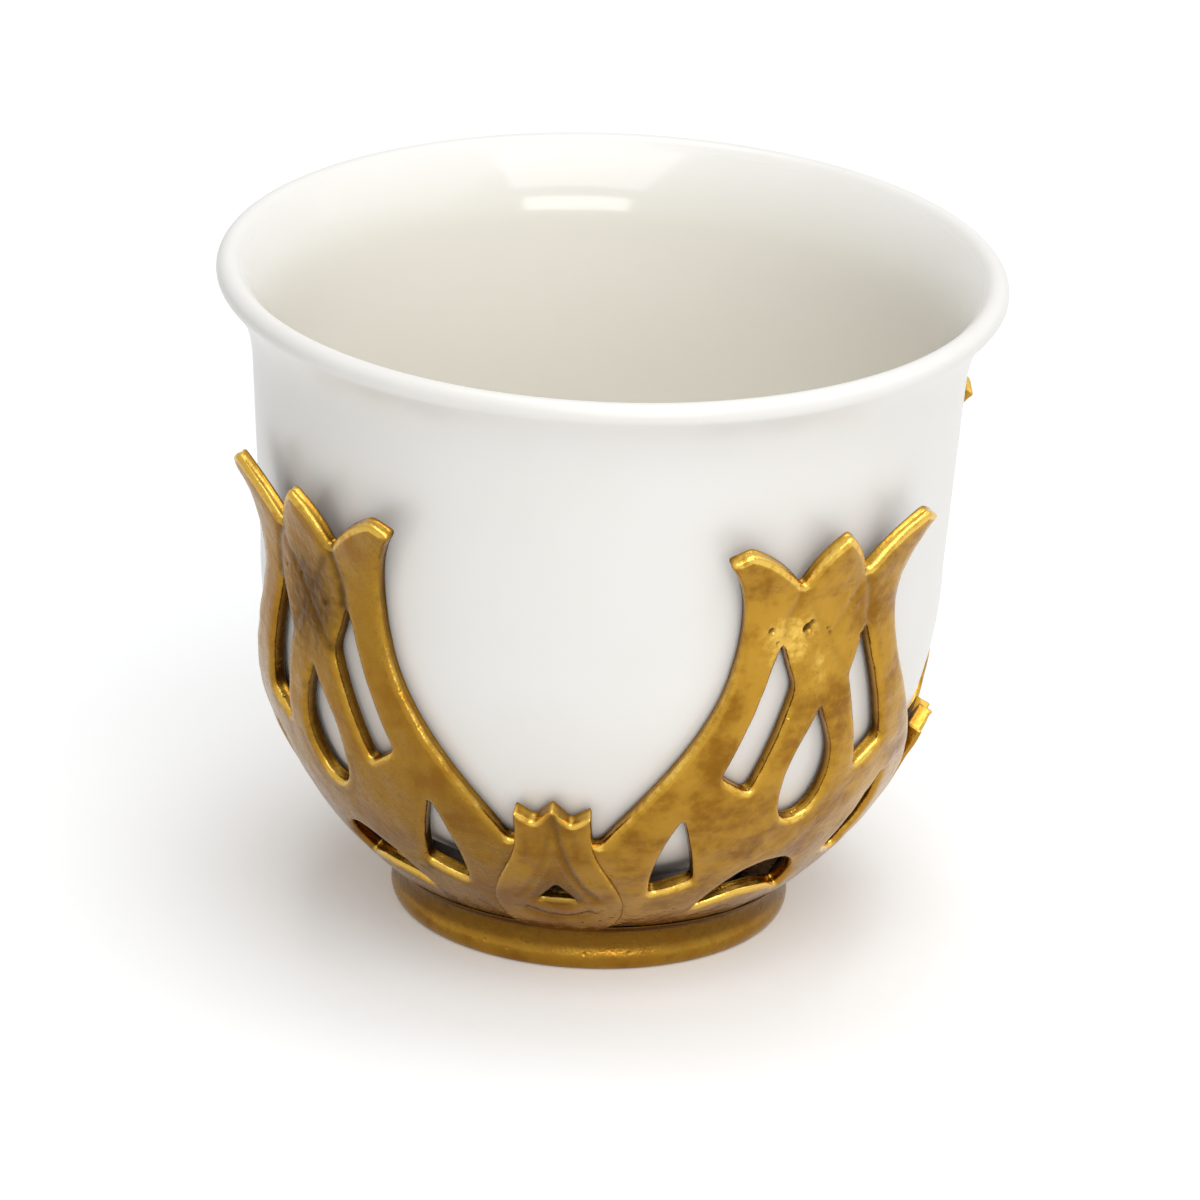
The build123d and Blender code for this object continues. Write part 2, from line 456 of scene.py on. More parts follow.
def lathe(profile: Array, segments: int) -> Surface:
    """Surface of revolution whose profile starts and ends on the axis.

    The profile is carried round the axis. Its ends are single points, so both poles are closed.

    Args:
        profile: Radius and height of each point, with the metal or clay on its left.
        segments: Number of angles.

    Returns:
        The closed surface.
    """
    round_part = carried(profile[1:-1], segments)
    poles = np.array([[0, 0, profile[0, 1]], [0, 0, profile[-1, 1]]])
    index = np.arange(len(round_part)).reshape(-1, segments)
    ahead = np.roll(index, -1, axis=1)
    quads = np.stack([index[:-1], ahead[:-1], ahead[1:], index[1:]], axis=-1).reshape(-1, 4)
    low, high = len(round_part), len(round_part) + 1
    caps = [
        np.stack([ahead[0], index[0], np.full(segments, low)], axis=-1),
        np.stack([index[-1], ahead[-1], np.full(segments, high)], axis=-1),
    ]
    return Surface(np.concatenate([round_part, poles]), np.concatenate(caps), quads)


def hoop(profile: Array, segments: int) -> Surface:
    """Ring whose closed profile is carried round the axis, so both directions close.

    Args:
        profile: Radius and height of each point, counter-clockwise.
        segments: Number of angles.

    Returns:
        The closed surface.
    """
    points = carried(profile, segments)
    index = np.arange(len(points)).reshape(-1, segments)
    ahead = np.roll(index, -1, axis=1)
    above = np.roll(index, -1, axis=0)
    both = np.roll(above, -1, axis=1)
    quads = np.stack([index, ahead, both, above], axis=-1).reshape(-1, 4)
    return Surface(points, np.zeros((0, 3), int), quads)


@dataclass(frozen=True)
class Bowl:
    """Round shape that the cup and its holder share: elliptic bowl, leaning wall, turned lip."""

    overall_height: float = 55.3
    belly_radius: float = 27.85
    belly_height: float = 31.0
    start_radius: float = 16.2
    start_height: float = 5.7
    wall_lean: float = 0.068
    lip_flare: float = 2.4
    lip_height: float = 7.8
    lip_power: float = 3.0
    cup_wall: float = 2.0

    @property
    def depth(self) -> float:
        """Half height of the ellipse that the bowl is part of."""
        share = (self.start_radius / self.belly_radius) ** 2
        return (self.belly_height - self.start_height) / math.sqrt(1 - share)

    @property
    def lip_end(self) -> float:
        """Height where the wall ends and the lip is rounded over."""
        slope = self.wall_lean + self.lip_power * self.lip_flare / self.lip_height
        return self.overall_height - self.cup_wall / 2 * (1 + slope / math.hypot(1, slope))

    def radius(self, height: Array) -> Array:
        """Radius at each height: ellipse below the belly, a lean above it, a cubic at the lip.

        Args:
            height: Heights over the ground.

        Returns:
            One radius for each height.
        """
        drop = np.maximum(self.belly_height - height, 0) / self.depth
        lean = self.wall_lean * np.maximum(height - self.belly_height, 0)
        turn = np.maximum(height - self.lip_end + self.lip_height, 0) / self.lip_height
        bowl = self.belly_radius * np.sqrt(np.maximum(1 - drop**2, 0.01))
        return bowl + lean + self.lip_flare * turn**self.lip_power


def set_off(radius: Callable[[Array], Array], height: Array, away: float) -> Array:
    """Points at a distance square to a round wall.

    With the wall's slope s, a point moves away / sqrt(1 + s * s) outwards and s times as far
    down.

    Args:
        radius: Radius of the wall as a function of height.
        height: Heights on the wall.
        away: Distance from it, outwards.

    Returns:
        Radius and height of each point.
    """
    step = 0.01
    slope = (radius(height + step) - radius(height - step)) / (2 * step)
    square = np.sqrt(1 + slope**2)
    return np.stack([radius(height) + away / square, height - away * slope / square], axis=-1)


@dataclass(frozen=True)
class Skin:
    """Outer face of the holder's metal, as a surface of revolution that faces +X at its middle."""

    bowl: Bowl
    away: float
    top: float
    curl: float
    curl_height: float
    table_start: float = 1.0
    table_beyond: float = 4.0
    table_rows: int = 1200

    def table(self) -> tuple[Array, Array]:
        """Finely spaced heights and radii of the face, with the curl of the petals added.

        Returns:
            Heights and radii, in the order of height.
        """
        level = np.linspace(self.table_start, self.top + self.table_beyond, self.table_rows)
        place = set_off(self.bowl.radius, level, self.away)
        bend = np.maximum(level - self.top + self.curl_height, 0) / self.curl_height
        return place[:, 1], place[:, 0] + self.curl * bend**2

    def radius(self, height: Array) -> Array:
        """Radius of the face at each height."""
        heights, radii = self.table()
        return np.interp(height, heights, radii)

    def lean(self, height: Array) -> tuple[Array, Array]:
        """Outward and upward parts of the face's unit normal at each height.

        Args:
            height: Heights over the ground.

        Returns:
            The outward parts and the upward parts.
        """
        heights, radii = self.table()
        slope = np.interp(height, heights, np.gradient(radii, heights))
        square = np.sqrt(1 + slope**2)
        return 1 / square, -slope / square

    def normal(self, flat: Array) -> Array:
        """Unit normal of the face at each flat place.

        Args:
            flat: Flat places, one row each.

        Returns:
            Unit vectors, one row each.
        """
        sine = flat[:, 0] / self.radius(flat[:, 1])
        out, up = self.lean(flat[:, 1])
        return np.stack([out * np.sqrt(np.maximum(1 - sine**2, 0)), out * sine, up], axis=-1)

    def place(self, flat: Array, depth: Array | float) -> Array:
        """Points under the face.

        A flat place is a sideways distance y and a height z in the upright plane that the tulip
        faces. The point is (sqrt(r * r - y * y), y, z) on the face of radius r(z), moved inwards
        along the normal by the depth.

        Args:
            flat: Flat places, one row each.
            depth: Depth under the face of each place.

        Returns:
            Points in space, one row each.
        """
        out = np.sqrt(np.maximum(self.radius(flat[:, 1]) ** 2 - flat[:, 0] ** 2, 0))
        face = np.stack([out, flat[:, 0], flat[:, 1]], axis=-1)
        return face - np.broadcast_to(depth, len(flat))[:, None] * self.normal(flat)


@dataclass(frozen=True)
class CutEdge:
    """Section of a cut edge: rounded at the outer face, slightly hollow wall, eased inside."""

    outer_round: float = 0.34
    inner_round: float = 0.16
    face_inset: float = 0.46
    hollow: float = 0.05
    outer_rows: int = 6
    wall_rows: int = 6
    inner_rows: int = 4

    def rows(self) -> tuple[Array, Array, Array]:
        """Rows of the section from the outer face to the inner face.

        A row lies at an inset from the cut, and at a depth of a fixed length plus a share of
        the thickness.

        Returns:
            Insets, fixed lengths and shares, one number for each row.
        """
        over = np.radians(np.linspace(0, 90, self.outer_rows))
        under = np.radians(np.linspace(0, 90, self.inner_rows))
        wall = np.linspace(0, 1, self.wall_rows)[1:-1]
        inset = [
            [self.face_inset],
            self.outer_round * (1 - np.sin(over)),
            self.hollow * np.sin(np.pi * wall),
            self.inner_round * (1 - np.cos(under)),
            [self.face_inset],
        ]
        fixed = [
            [0.0],
            self.outer_round * (1 - np.cos(over)),
            self.outer_round * (1 - wall) - self.inner_round * wall,
            -self.inner_round * (1 - np.sin(under)),
            [0.0],
        ]
        share = [[0.0], 0 * over, wall, 1 + 0 * under, [1.0]]
        return np.concatenate(inset), np.concatenate(fixed), np.concatenate(share)


@dataclass(frozen=True)
class SheetPlan:
    """Flat places of a cut sheet's vertices, and the faces that join them."""

    flat: Array
    fixed: Array
    share: Array
    upward: Array
    from_outline: Array
    from_openings: Array
    triangles: Array
    quads: Array


@dataclass(frozen=True)
class CutSheet:
    """Curved metal sheet cut to an outline with openings."""

    skin: Skin
    outline: Array
    openings: Sequence[Array]
    edge: CutEdge = CutEdge()
    face_step: float = 0.17
    back_step: float = 0.8
    inset_share: float = 0.75
    grid_margin: float = 0.45
    # Edge marks: width of the edge highlight, share of plain wear on edges that don't face up,
    # painted shade on the walls of the outline and openings, and painted highlights on their
    # ledges.
    highlight_width: float = 0.45
    least_rub: float = 0.35
    wall_shade: Place = (0.3, 0.75)
    ledge_rub: Place = (0.9, 0.62)

    def rings(self) -> list[Array]:
        """Outline and openings, each running with the metal on its left.

        Returns:
            The outline first and then the openings.
        """
        turned = []
        for order, ring in enumerate([self.outline, *self.openings]):
            ahead = np.roll(ring, -1, axis=0)
            area = (ring[:, 0] * ahead[:, 1] - ahead[:, 0] * ring[:, 1]).sum()
            turned.append(ring if (area > 0) == (order == 0) else ring[::-1])
        return turned

    @staticmethod
    def room(border: Array, inward: Array) -> Array:
        """Radius of the largest circle inside the metal that touches each point of the rings.

        A circle that touches the border at p, with its middle towards the unit vector n, reaches
        a point q when its radius is (q - p) ** 2 / (2 n . (q - p)), so the least of these counts.

        Args:
            border: Points of all rings.
            inward: Unit vector into the metal at each point.

        Returns:
            One radius for each point.
        """
        least_lean = 1e-6
        found = []
        for block in np.array_split(np.arange(len(border)), max(1, len(border) // BLOCK)):
            apart = border[None] - border[block][:, None]
            lean = (apart * inward[block][:, None]).sum(axis=2)
            radius = (apart**2).sum(axis=2) / (2 * np.maximum(lean, TINY))
            found.append(np.where(lean > least_lean, radius, np.inf).min(axis=1))
        return np.concatenate(found)

    def filled(self, rings: Sequence[Array], step: float) -> tuple[Array, Array]:
        """Fill the area between rings with a staggered grid of points and triangles.

        Args:
            rings: The outer ring and the rings of the openings.
            step: Distance between grid points.

        Returns:
            Grid points to add after the rings' own, and triangles that use both.
        """
        border = np.concatenate(rings)
        low, high = border.min(axis=0), border.max(axis=0)
        across = np.arange(low[0], high[0], step)
        up = np.arange(low[1], high[1], step * math.sqrt(0.75))
        grid = np.stack(np.meshgrid(across, up), axis=-1)
        grid[1::2, :, 0] += step / 2
        grid = grid.reshape(-1, 2)
        grid = grid[within(grid, rings)]
        room = np.min([distance(grid, ring, True) for ring in rings], axis=0)
        grid = grid[room > self.grid_margin * step]
        count = 0
        links = []
        for ring in rings:
            order = np.arange(count, count + len(ring))
            links.append(np.stack([order, np.roll(order, -1)], axis=-1))
            count += len(ring)
        points = np.concatenate([border, grid])
        edges, weld = np.concatenate(links).tolist(), 1e-7
        made = delaunay_2d_cdt(points.tolist(), edges, [], 0, weld, False)
        if len(made[0]) != len(points):
            raise ValueError("the rings of a cut sheet cross each other")
        triangles = np.array(made[2])
        middle = points[triangles].mean(axis=1)
        loose = np.flatnonzero((triangles < count).all(axis=1))
        keep = np.ones(len(triangles), bool)
        keep[loose] = within(middle[loose], rings)
        triangles = triangles[keep]
        a, b, c = (points[triangles[:, k]] for k in range(3))
        area = np.cross(b - a, c - a)
        return grid, np.where((area > 0)[:, None], triangles, triangles[:, ::-1])

    def plan(self) -> SheetPlan:
        """Lay out the face, the back and an edge section carried round each ring.

        Returns:
            Places and faces of a closed sheet, with the distances that its relief needs.
        """
        rings = self.rings()
        cuts = np.cumsum([len(ring) for ring in rings])[:-1]
        border = np.concatenate(rings)
        count = len(border)
        index = np.arange(count)
        ahead = np.concatenate([np.roll(part, -1) for part in np.split(index, cuts)])
        behind = np.concatenate([np.roll(part, 1) for part in np.split(index, cuts)])
        solid = self.skin.place(border, 0.0)
        inward = np.cross(self.skin.normal(border), solid[ahead] - solid[behind])
        inward /= np.linalg.norm(inward, axis=1)[:, None]
        level = (border[ahead] - border[behind])[:, ::-1] * [-1, 1]
        level /= np.linalg.norm(level, axis=1)[:, None]
        inset, fixed, share = self.edge.rows()
        room = self.inset_share * self.room(border, level)
        scale = np.minimum(room / self.edge.face_inset, 1.0)
        rows = [(solid + (reach * scale)[:, None] * inward)[:, 1:] for reach in inset]
        face_grid, face = self.filled(np.split(rows[0], cuts), self.face_step)
        back_grid, back = self.filled(np.split(rows[-1], cuts), self.back_step)
        last, after = (len(rows) - 1) * count, len(rows) * count
        face = np.where(face < count, face, face - count + after)
        back = np.where(back < count, back + last, back - count + after + len(face_grid))
        start = np.arange(len(rows) - 1)[:, None] * count
        quads = np.stack(
            [start + index, start + index + count, start + ahead + count, start + ahead], axis=-1
        )
        flat = np.concatenate([*rows, face_grid, back_grid])
        plain = np.concatenate([np.zeros(len(face_grid)), np.ones(len(back_grid))])
        return SheetPlan(
            flat=flat,
            fixed=np.concatenate([np.repeat(fixed, count), 0 * plain]),
            share=np.concatenate([np.repeat(share, count), plain]),
            upward=np.concatenate([np.tile(np.maximum(-level[:, 1], 0), len(rows)), 0 * plain]),
            from_outline=distance(flat, rings[0], True),
            from_openings=np.min([distance(flat, ring, True) for ring in rings[1:]], axis=0),
            triangles=np.concatenate([face, back[:, ::-1]]),
            quads=quads.reshape(-1, 4),
        )

    def surface(
        self,
        plan: SheetPlan,
        thickness: Array,
        sunk: Array,
        recess: Array,
        painted_highlight: Array | float = 0.0,
    ) -> Surface:
        """Closed surface of the sheet.

        A vertex lies under the skin by the depth of the relief where it belongs to the outer
        face, by the thickness where it belongs to the inner face, and in between on the edges.

        Args:
            plan: Places and faces.
            thickness: Thickness of the metal at each place.
            sunk: Depth of the relief at each place.
            recess: How far each place is darkened by patina and painted shade.
            painted_highlight: Strength of the painted highlight at each place, beside the edges.

        Returns:
            The surface, with painted values for darkening by patina and painted shade, and for wear
            and painted highlights.
        """
        depth = sunk * (1 - plan.share) + plan.fixed + plan.share * thickness
        outside = plan.from_outline < plan.from_openings
        # Painted shade on the cut walls: darker deeper in and inside openings, none on walls that
        # face up, which get a painted highlight as glints on their ledges instead.
        wall, ledge_glint = (np.where(outside, *pair) for pair in (self.wall_shade, self.ledge_rub))
        inside = plan.share * (wall + (1 - wall) * plan.share) * (1 - plan.upward)
        nearest = np.minimum(plan.from_outline, plan.from_openings)
        # Edges are rubbed as wear, and brighter where they face up as a painted highlight.
        wear_and_upward_highlight = self.least_rub + (1 - self.least_rub) * plan.upward
        edges = bell(nearest, self.highlight_width) * wear_and_upward_highlight
        face = np.maximum(edges, painted_highlight) * (1 - plan.share) ** 2
        values = {
            RECESS_AND_SHADE: np.clip(recess * (1 - plan.share) + inside, 0, 1),
            WEAR_AND_HIGHLIGHT: np.maximum(face, ledge_glint * plan.upward * (1 - plan.share**4)),
        }
        return Surface(self.skin.place(plan.flat, depth), plan.triangles, plan.quads, values)


class Wire:
    """A number in a material's node tree that Python's operators can work on."""

    def __init__(self, web: "NodeWeb", socket: bpy.types.NodeSocket) -> None:
        """Wrap an output socket of a node."""
        self.web = web
        self.socket = socket

    def __add__(self, other: "Number") -> "Wire":
        """Sum of two numbers."""
        return self.web.math("ADD", self, other)

    __radd__ = __add__

    def __sub__(self, other: "Number") -> "Wire":
        """Difference of two numbers."""
        return self.web.math("SUBTRACT", self, other)

    def __rsub__(self, other: "Number") -> "Wire":
        """Difference of two numbers, the other way round."""
        return self.web.math("SUBTRACT", other, self)

    def __mul__(self, other: "Number") -> "Wire":
        """Product of two numbers."""
        return self.web.math("MULTIPLY", self, other)

    __rmul__ = __mul__

    def held(self) -> "Wire":
        """The number kept between 0 and 1."""
        return self.web.math("ADD", self, 0.0, held=True)

    def ramp(self, low: float, high: float) -> "Wire":
        """Smooth step from 0 at a low number to 1 at a high one.

        Args:
            low: Number that gives 0.
            high: Number that gives 1.

        Returns:
            The new number.
        """
        made = self.web.node(
            "ShaderNodeMapRange",
            {"interpolation_type": "SMOOTHSTEP"},
            {"Value": self, "From Min": low, "From Max": high},
        )
        return Wire(self.web, made.outputs["Result"])


Number = Union[Wire, float]


class NodeWeb:
    """Node tree of a material or world, with one method that makes any node."""

    def __init__(self, owner: Union[bpy.types.Material, bpy.types.World]) -> None:
        """Start an empty tree on a material or world.

        Args:
            owner: Material or world that the tree belongs to.
        """
        owner.use_nodes = True
        self.tree = owner.node_tree
        self.tree.nodes.clear()

    def node(
        self,
        kind: str,
        settings: dict[str, object] | None = None,
        sockets: dict[Union[str, int], object] | None = None,
    ) -> bpy.types.Node:
        """Make a node, set it up and join its inputs.

        Args:
            kind: Blender's name for the type of node.
            settings: Properties of the node, which are set first.
            sockets: Values or links for its inputs, by name or number.

        Returns:
            The new node.
        """
        made = self.tree.nodes.new(kind)
        for label, value in (settings or {}).items():
            setattr(made, label, value)
        for label, value in (sockets or {}).items():
            if isinstance(value, Wire):
                value = value.socket
            if isinstance(value, bpy.types.NodeSocket):
                self.tree.links.new(value, made.inputs[label])
            else:
                made.inputs[label].default_value = value
        return made

    def math(self, operation: str, a: Number, b: Number, held: bool = False) -> Wire:
        """Work out two numbers with a Math node.

        Args:
            operation: Blender's name for the operation.
            a: First number.
            b: Second number.
            held: Whether the result is kept between 0 and 1.

        Returns:
            The result.
        """
        made = self.node(
            "ShaderNodeMath", {"operation": operation, "use_clamp": held}, {0: a, 1: b}
        )
        return Wire(self, made.outputs[0])

    def painted(self, label: str) -> Wire:
        """A value painted on the piece's vertices."""
        made = self.node("ShaderNodeAttribute", {"attribute_name": label})
        return Wire(self, made.outputs["Fac"])

    def over_object(self, size_mm: float) -> dict[str, object]:
        """Inputs that lay a texture with features of about a size on Object coordinates."""
        place = self.node("ShaderNodeTexCoord")
        return {"Vector": place.outputs["Object"], "Scale": MM_PER_METRE / size_mm}

    def noise(self, size_mm: float, detail: float = 2.0, rough: float = 0.5) -> Wire:
        """Noise with blotches of about a size, from 0 to 1.

        Args:
            size_mm: Size of a blotch.
            detail: Number of finer layers.
            rough: Strength of each finer layer beside the one before it.

        Returns:
            The noise.
        """
        sockets = {**self.over_object(size_mm), "Detail": detail, "Roughness": rough}
        made = self.node("ShaderNodeTexNoise", {"noise_dimensions": "3D"}, sockets)
        return Wire(self, made.outputs["Fac"])

    def specks(self, size_mm: float) -> Wire:
        """Distance from the nearest of many scattered points, in shares of their spacing."""
        made = self.node("ShaderNodeTexVoronoi", {"feature": "F1"}, self.over_object(size_mm))
        return Wire(self, made.outputs["Distance"])

    def blend(
        self,
        share: Wire,
        a: Union[Colour, bpy.types.NodeSocket],
        b: Union[Colour, bpy.types.NodeSocket],
    ) -> bpy.types.NodeSocket:
        """Colour between two colours, the second where the share is 1.

        Args:
            share: Share of the second colour.
            a: First colour.
            b: Second colour.

        Returns:
            Socket of the mixed colour.
        """
        a, b = ((*c, 1.0) if isinstance(c, tuple) else c for c in (a, b))
        made = self.node("ShaderNodeMix", {"data_type": "RGBA"}, {0: share, 6: a, 7: b})
        return made.outputs[2]

    def bump(self, height: Wire, rise_mm: float) -> bpy.types.NodeSocket:
        """Normal of a surface that stands up by a height of 1 for each rise.

        Args:
            height: Height at each place.
            rise_mm: Rise that a height of 1 stands for.

        Returns:
            Socket of the normal.
        """
        made = self.node(
            "ShaderNodeBump",
            sockets={"Height": height, "Distance": rise_mm * METRES_PER_MM, "Strength": 1.0},
        )
        return made.outputs["Normal"]

    def principled(self, sockets: dict[str, object]) -> None:
        """End the tree with a Principled shader that has these inputs."""
        shader = self.node("ShaderNodeBsdfPrincipled", sockets=sockets)
        self.node("ShaderNodeOutputMaterial", sockets={"Surface": shader.outputs["BSDF"]})

    def background_rays(self) -> Wire:
        """1 for rays that show the background: from the camera, a mirror or glass.

        Returns:
            The number, from 0 to 1.
        """
        made = self.node("ShaderNodeLightPath")
        seen = Wire(self, made.outputs["Is Camera Ray"])
        seen = seen + Wire(self, made.outputs["Is Glossy Ray"])
        return (seen + Wire(self, made.outputs["Is Transmission Ray"])).held()


@dataclass(frozen=True)
class AntiqueGold:
    """Cast and gilded metal: warm gold, brown in recesses and under painted shade, bright where
    rubbed and under painted highlights.
    """

    gold: Colour = (0.248, 0.109, 0.0117)
    light_gold: Colour = (0.49, 0.265, 0.033)
    worn_and_highlight_gold: Colour = (0.86, 0.56, 0.115)
    brown: Colour = (0.10, 0.046, 0.008)
    cloud_size: float = 3.6
    grain_size: float = 0.8
    fine_size: float = 0.22
    pit_spacing: float = 1.1
    patch_ramp: Place = (0.27, 0.75)
    tarnish_and_shade_ramp: Place = (0.05, 1.0)
    worn_and_highlit_ramp: Place = (0.44, 0.85)
    pit_ramp: Place = (0.05, 0.2)
    worn_and_highlit_share: float = 0.8
    roughness: float = 0.21
    bump_rise: float = 0.05

    def material(self) -> bpy.types.Material:
        """Material of the holder.

        Returns:
            A metal whose colour, roughness and fine bumps follow the painted recesses and shade,
            and whose colour and roughness follow wear and painted highlights.
        """
        made = bpy.data.materials.new("antique_gold")
        web = NodeWeb(made)
        recess = web.painted(RECESS_AND_SHADE)
        rub = web.painted(WEAR_AND_HIGHLIGHT)
        cloud = web.noise(self.cloud_size, 2.5)
        grain = web.noise(self.grain_size, 4.0, 0.6)
        fine = web.noise(self.fine_size, 2.0)
        # Lighter gold at random, and where wear and painted highlights lie.
        patch = (cloud + 0.45 * (grain - 0.5) + 0.4 * rub).ramp(*self.patch_ramp)
        colour = web.blend(patch, self.gold, self.light_gold)
        # Brown for patina in recesses and for painted shade, with random blotches.
        tarnish_and_shade = recess + 0.75 * (cloud - 0.5) + 0.6 * (grain - 0.5)
        tarnish_and_shade = tarnish_and_shade.ramp(*self.tarnish_and_shade_ramp)
        colour = web.blend(tarnish_and_shade, colour, self.brown)
        # Bright gold for rubbed wear and painted highlights, broken up by noise.
        worn_and_highlit = (rub * (0.5 + cloud + 1.6 * (grain - 0.5))).ramp(*self.worn_and_highlit_ramp)
        worn_and_highlit = worn_and_highlit * (1 - recess).held()
        colour = web.blend(self.worn_and_highlit_share * worn_and_highlit, colour, self.worn_and_highlight_gold)
        rough = self.roughness + 0.16 * tarnish_and_shade + 0.14 * (grain - 0.5) - 0.06 * worn_and_highlit
        pits = 1 - web.specks(self.pit_spacing).ramp(*self.pit_ramp)
        height = grain + 0.35 * fine - 0.7 * pits
        web.principled(
            {
                "Base Color": colour,
                "Metallic": 1.0,
                "Roughness": rough.held(),
                "Normal": web.bump(height, self.bump_rise),
            }
        )
        return made


@dataclass(frozen=True)
class WhiteGlaze:
    """White porcelain under a clear glaze, bare where it stands."""

    white: Colour = (0.895, 0.88, 0.845)
    shade: Colour = (0.88, 0.86, 0.82)
    inside_shade: Colour = (0.865, 0.84, 0.77)
    bare: Colour = (0.74, 0.71, 0.66)
    cloud_size: float = 14.0
    grain_size: float = 0.35
    cloud_ramp: Place = (0.35, 0.7)
    inside_ramp: Place = (0.0, 0.12)
    roughness: float = 0.28
    inside_gloss: float = 0.19
    refraction: float = 1.52
    bump_rise: float = 0.06

    def material(self) -> bpy.types.Material:
        """Material of the cup.

        Returns:
            A glossy white with faint clouds, a glaze that isn't quite even, and painted shade that
            warms and darkens the inside.
        """
        made = bpy.data.materials.new("white_glaze")
        web = NodeWeb(made)
        bisque = web.painted(BISQUE)
        cloud = web.noise(self.cloud_size)
        grain = web.noise(self.grain_size)
        colour = web.blend(cloud.ramp(*self.cloud_ramp), self.white, self.shade)
        # Painted shade inside the cup, as a warmer, darker tint of the glaze; the same mask makes
        # the inside glossier.
        inside = web.painted(INSIDE_SHADE)
        colour = web.blend(inside, colour, self.inside_shade)
        colour = web.blend(bisque, colour, self.bare)
        rough = self.roughness - self.inside_gloss * inside.ramp(*self.inside_ramp)
        rough = rough + 0.04 * cloud + 0.4 * bisque
        height = cloud + bisque * grain * 0.4
        web.principled(
            {
                "Base Color": colour,
                "Roughness": rough.held(),
                "IOR": self.refraction,
                "Normal": web.bump(height, self.bump_rise),
            }
        )
        return made


@dataclass(frozen=True)
class SoftRubber:
    """Matt rubber of the washer."""

    grey: Colour = (0.50, 0.48, 0.43)
    dust: Colour = (0.62, 0.60, 0.55)
    grain_size: float = 0.4
    cloud_size: float = 3.0
    dust_ramp: Place = (0.35, 0.65)
    roughness: float = 0.68
    bump_rise: float = 0.04

    def material(self) -> bpy.types.Material:
        """Material of the washer.

        Returns:
            A dull grey with specks of dust and a fine grain.
        """
        made = bpy.data.materials.new("soft_rubber")
        web = NodeWeb(made)
        grain = web.noise(self.grain_size, 3.0)
        cloud = web.noise(self.cloud_size)
        dusty = (0.6 * cloud + 0.4 * grain).ramp(*self.dust_ramp)
        web.principled(
            {
                "Base Color": web.blend(dusty, self.grey, self.dust),
                "Roughness": (self.roughness + 0.2 * grain).held(),
                "Normal": web.bump(grain, self.bump_rise),
            }
        )
        return made


def settle(
    piece: bpy.types.Object, material: bpy.types.Material, body: Body, node: str
) -> bpy.types.Object:
    """Dress a piece, put it on its body in place of its solid, and report it.

    Args:
        piece: The new piece.
        material: Its finish.
        body: Body that it rides on.
        node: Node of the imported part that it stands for.

    Returns:
        The piece.
    """
    piece.data.materials.append(material)
    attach(piece, body.value)
    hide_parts(node)
    piece.data.calc_loop_triangles()
    LOG.info("%s on %s: %d triangles", piece.name, body.value, len(piece.data.loop_triangles))
    return piece


def gild(pieces: dict[Side, bpy.types.Object], stem: str, gold: bpy.types.Material) -> None:
    """Gild the tulips of one kind and set them on the holder."""
    for side, piece in pieces.items():
        settle(piece, gold, Body.HOLDER, f"{stem}_{side.label}")


@dataclass(frozen=True)
class PorcelainCup:
    """White cup with a rounded lip, a heel that draws in and a low foot."""

    bowl: Bowl
    bottom: float = 2.7
    foot_radius: float = 13.0
    foot_width: float = 2.0
    foot_z: float = 4.8
    base_z: float = 7.0
    heel_height: float = 9.0
    heel_depth: float = 4.5
    corner_reach: float = 0.22
    fine_step: float = 0.04
    longest_step: float = 0.9
    sharpest_turn: float = 7.0
    levels: int = 240
    segments: int = 200
    bare_rise: float = 0.45
    bare_fade: float = 0.3
    inside_shade_start: float = 0.6
    inside_shade_fade: float = 5.0

    def radius(self, height: Array) -> Array:
        """Outside radius: the shared bowl, less a square law below the heel."""
        drop = np.maximum(self.base_z + self.heel_height - height, 0) / self.heel_height
        return self.bowl.radius(height) - self.heel_depth * drop**2

    def profile(self) -> Array:
        """Half section from the underside's middle, over foot, wall and lip, to the floor's.

        Returns:
            Radius and height of each point.
        """
        floor_z = self.base_z + self.bottom
        rising = np.linspace(self.base_z, self.bowl.lip_end, self.levels)
        falling = np.linspace(self.bowl.lip_end, floor_z + self.bottom, self.levels)
        outer = set_off(self.radius, rising, 0.0)
        inner = set_off(self.radius, falling, -self.bowl.cup_wall)
        across = inner[0] - outer[-1]
        upward = np.array([across[1], -across[0]]) / np.linalg.norm(across)
        crest = outer[-1] + across / 2 + upward * (self.bowl.cup_wall / 2)
        floor = spline([inner[-1], (0.0, floor_z)], inner[-1] - inner[-2], (-1.0, 0.0))
        hollow = self.foot_radius - self.foot_width
        foot = np.array(
            [
                (0.0, self.base_z),
                (hollow, self.base_z),
                (hollow, self.foot_z),
                (self.foot_radius, self.foot_z),
                (self.foot_radius, self.base_z),
            ]
        )
        lip = arc(outer[-1], crest, inner[0])[1:-1]
        line = np.concatenate([foot, outer, lip, inner, floor[1:]])
        rounded = softened(line, self.corner_reach, self.fine_step, False)
        return spread(rounded, self.longest_step, self.sharpest_turn)

    def build(self) -> bpy.types.Object:
        """Turn the half section about the axis, paint its bare foot, and paint shade on its inside.

        Returns:
            The cup.
        """
        profile = self.profile()
        surface = lathe(profile, self.segments)
        height = profile[1:-1, 1]
        bare = np.clip((self.foot_z + self.bare_rise - height) / self.bare_fade, 0, 1)
        # Painted shade inside the cup: none down to a little below the lip, then deepening over a
        # few millimetres.
        inside = np.arange(len(height)) > np.argmax(height)
        inside_shade_top = self.bowl.overall_height - self.inside_shade_start
        inside_shade = np.clip((inside_shade_top - height) / self.inside_shade_fade, 0, 1) * inside
        surface.paint(BISQUE, bare, self.segments)
        surface.paint(INSIDE_SHADE, inside_shade, self.segments)
        return surface.piece("porcelain_cup_glazed")

    def dress(self, piece: bpy.types.Object, glaze: WhiteGlaze) -> None:
        """Glaze the cup and set it on its body."""
        settle(piece, glaze.material(), Body.CUP, "porcelain_cup")


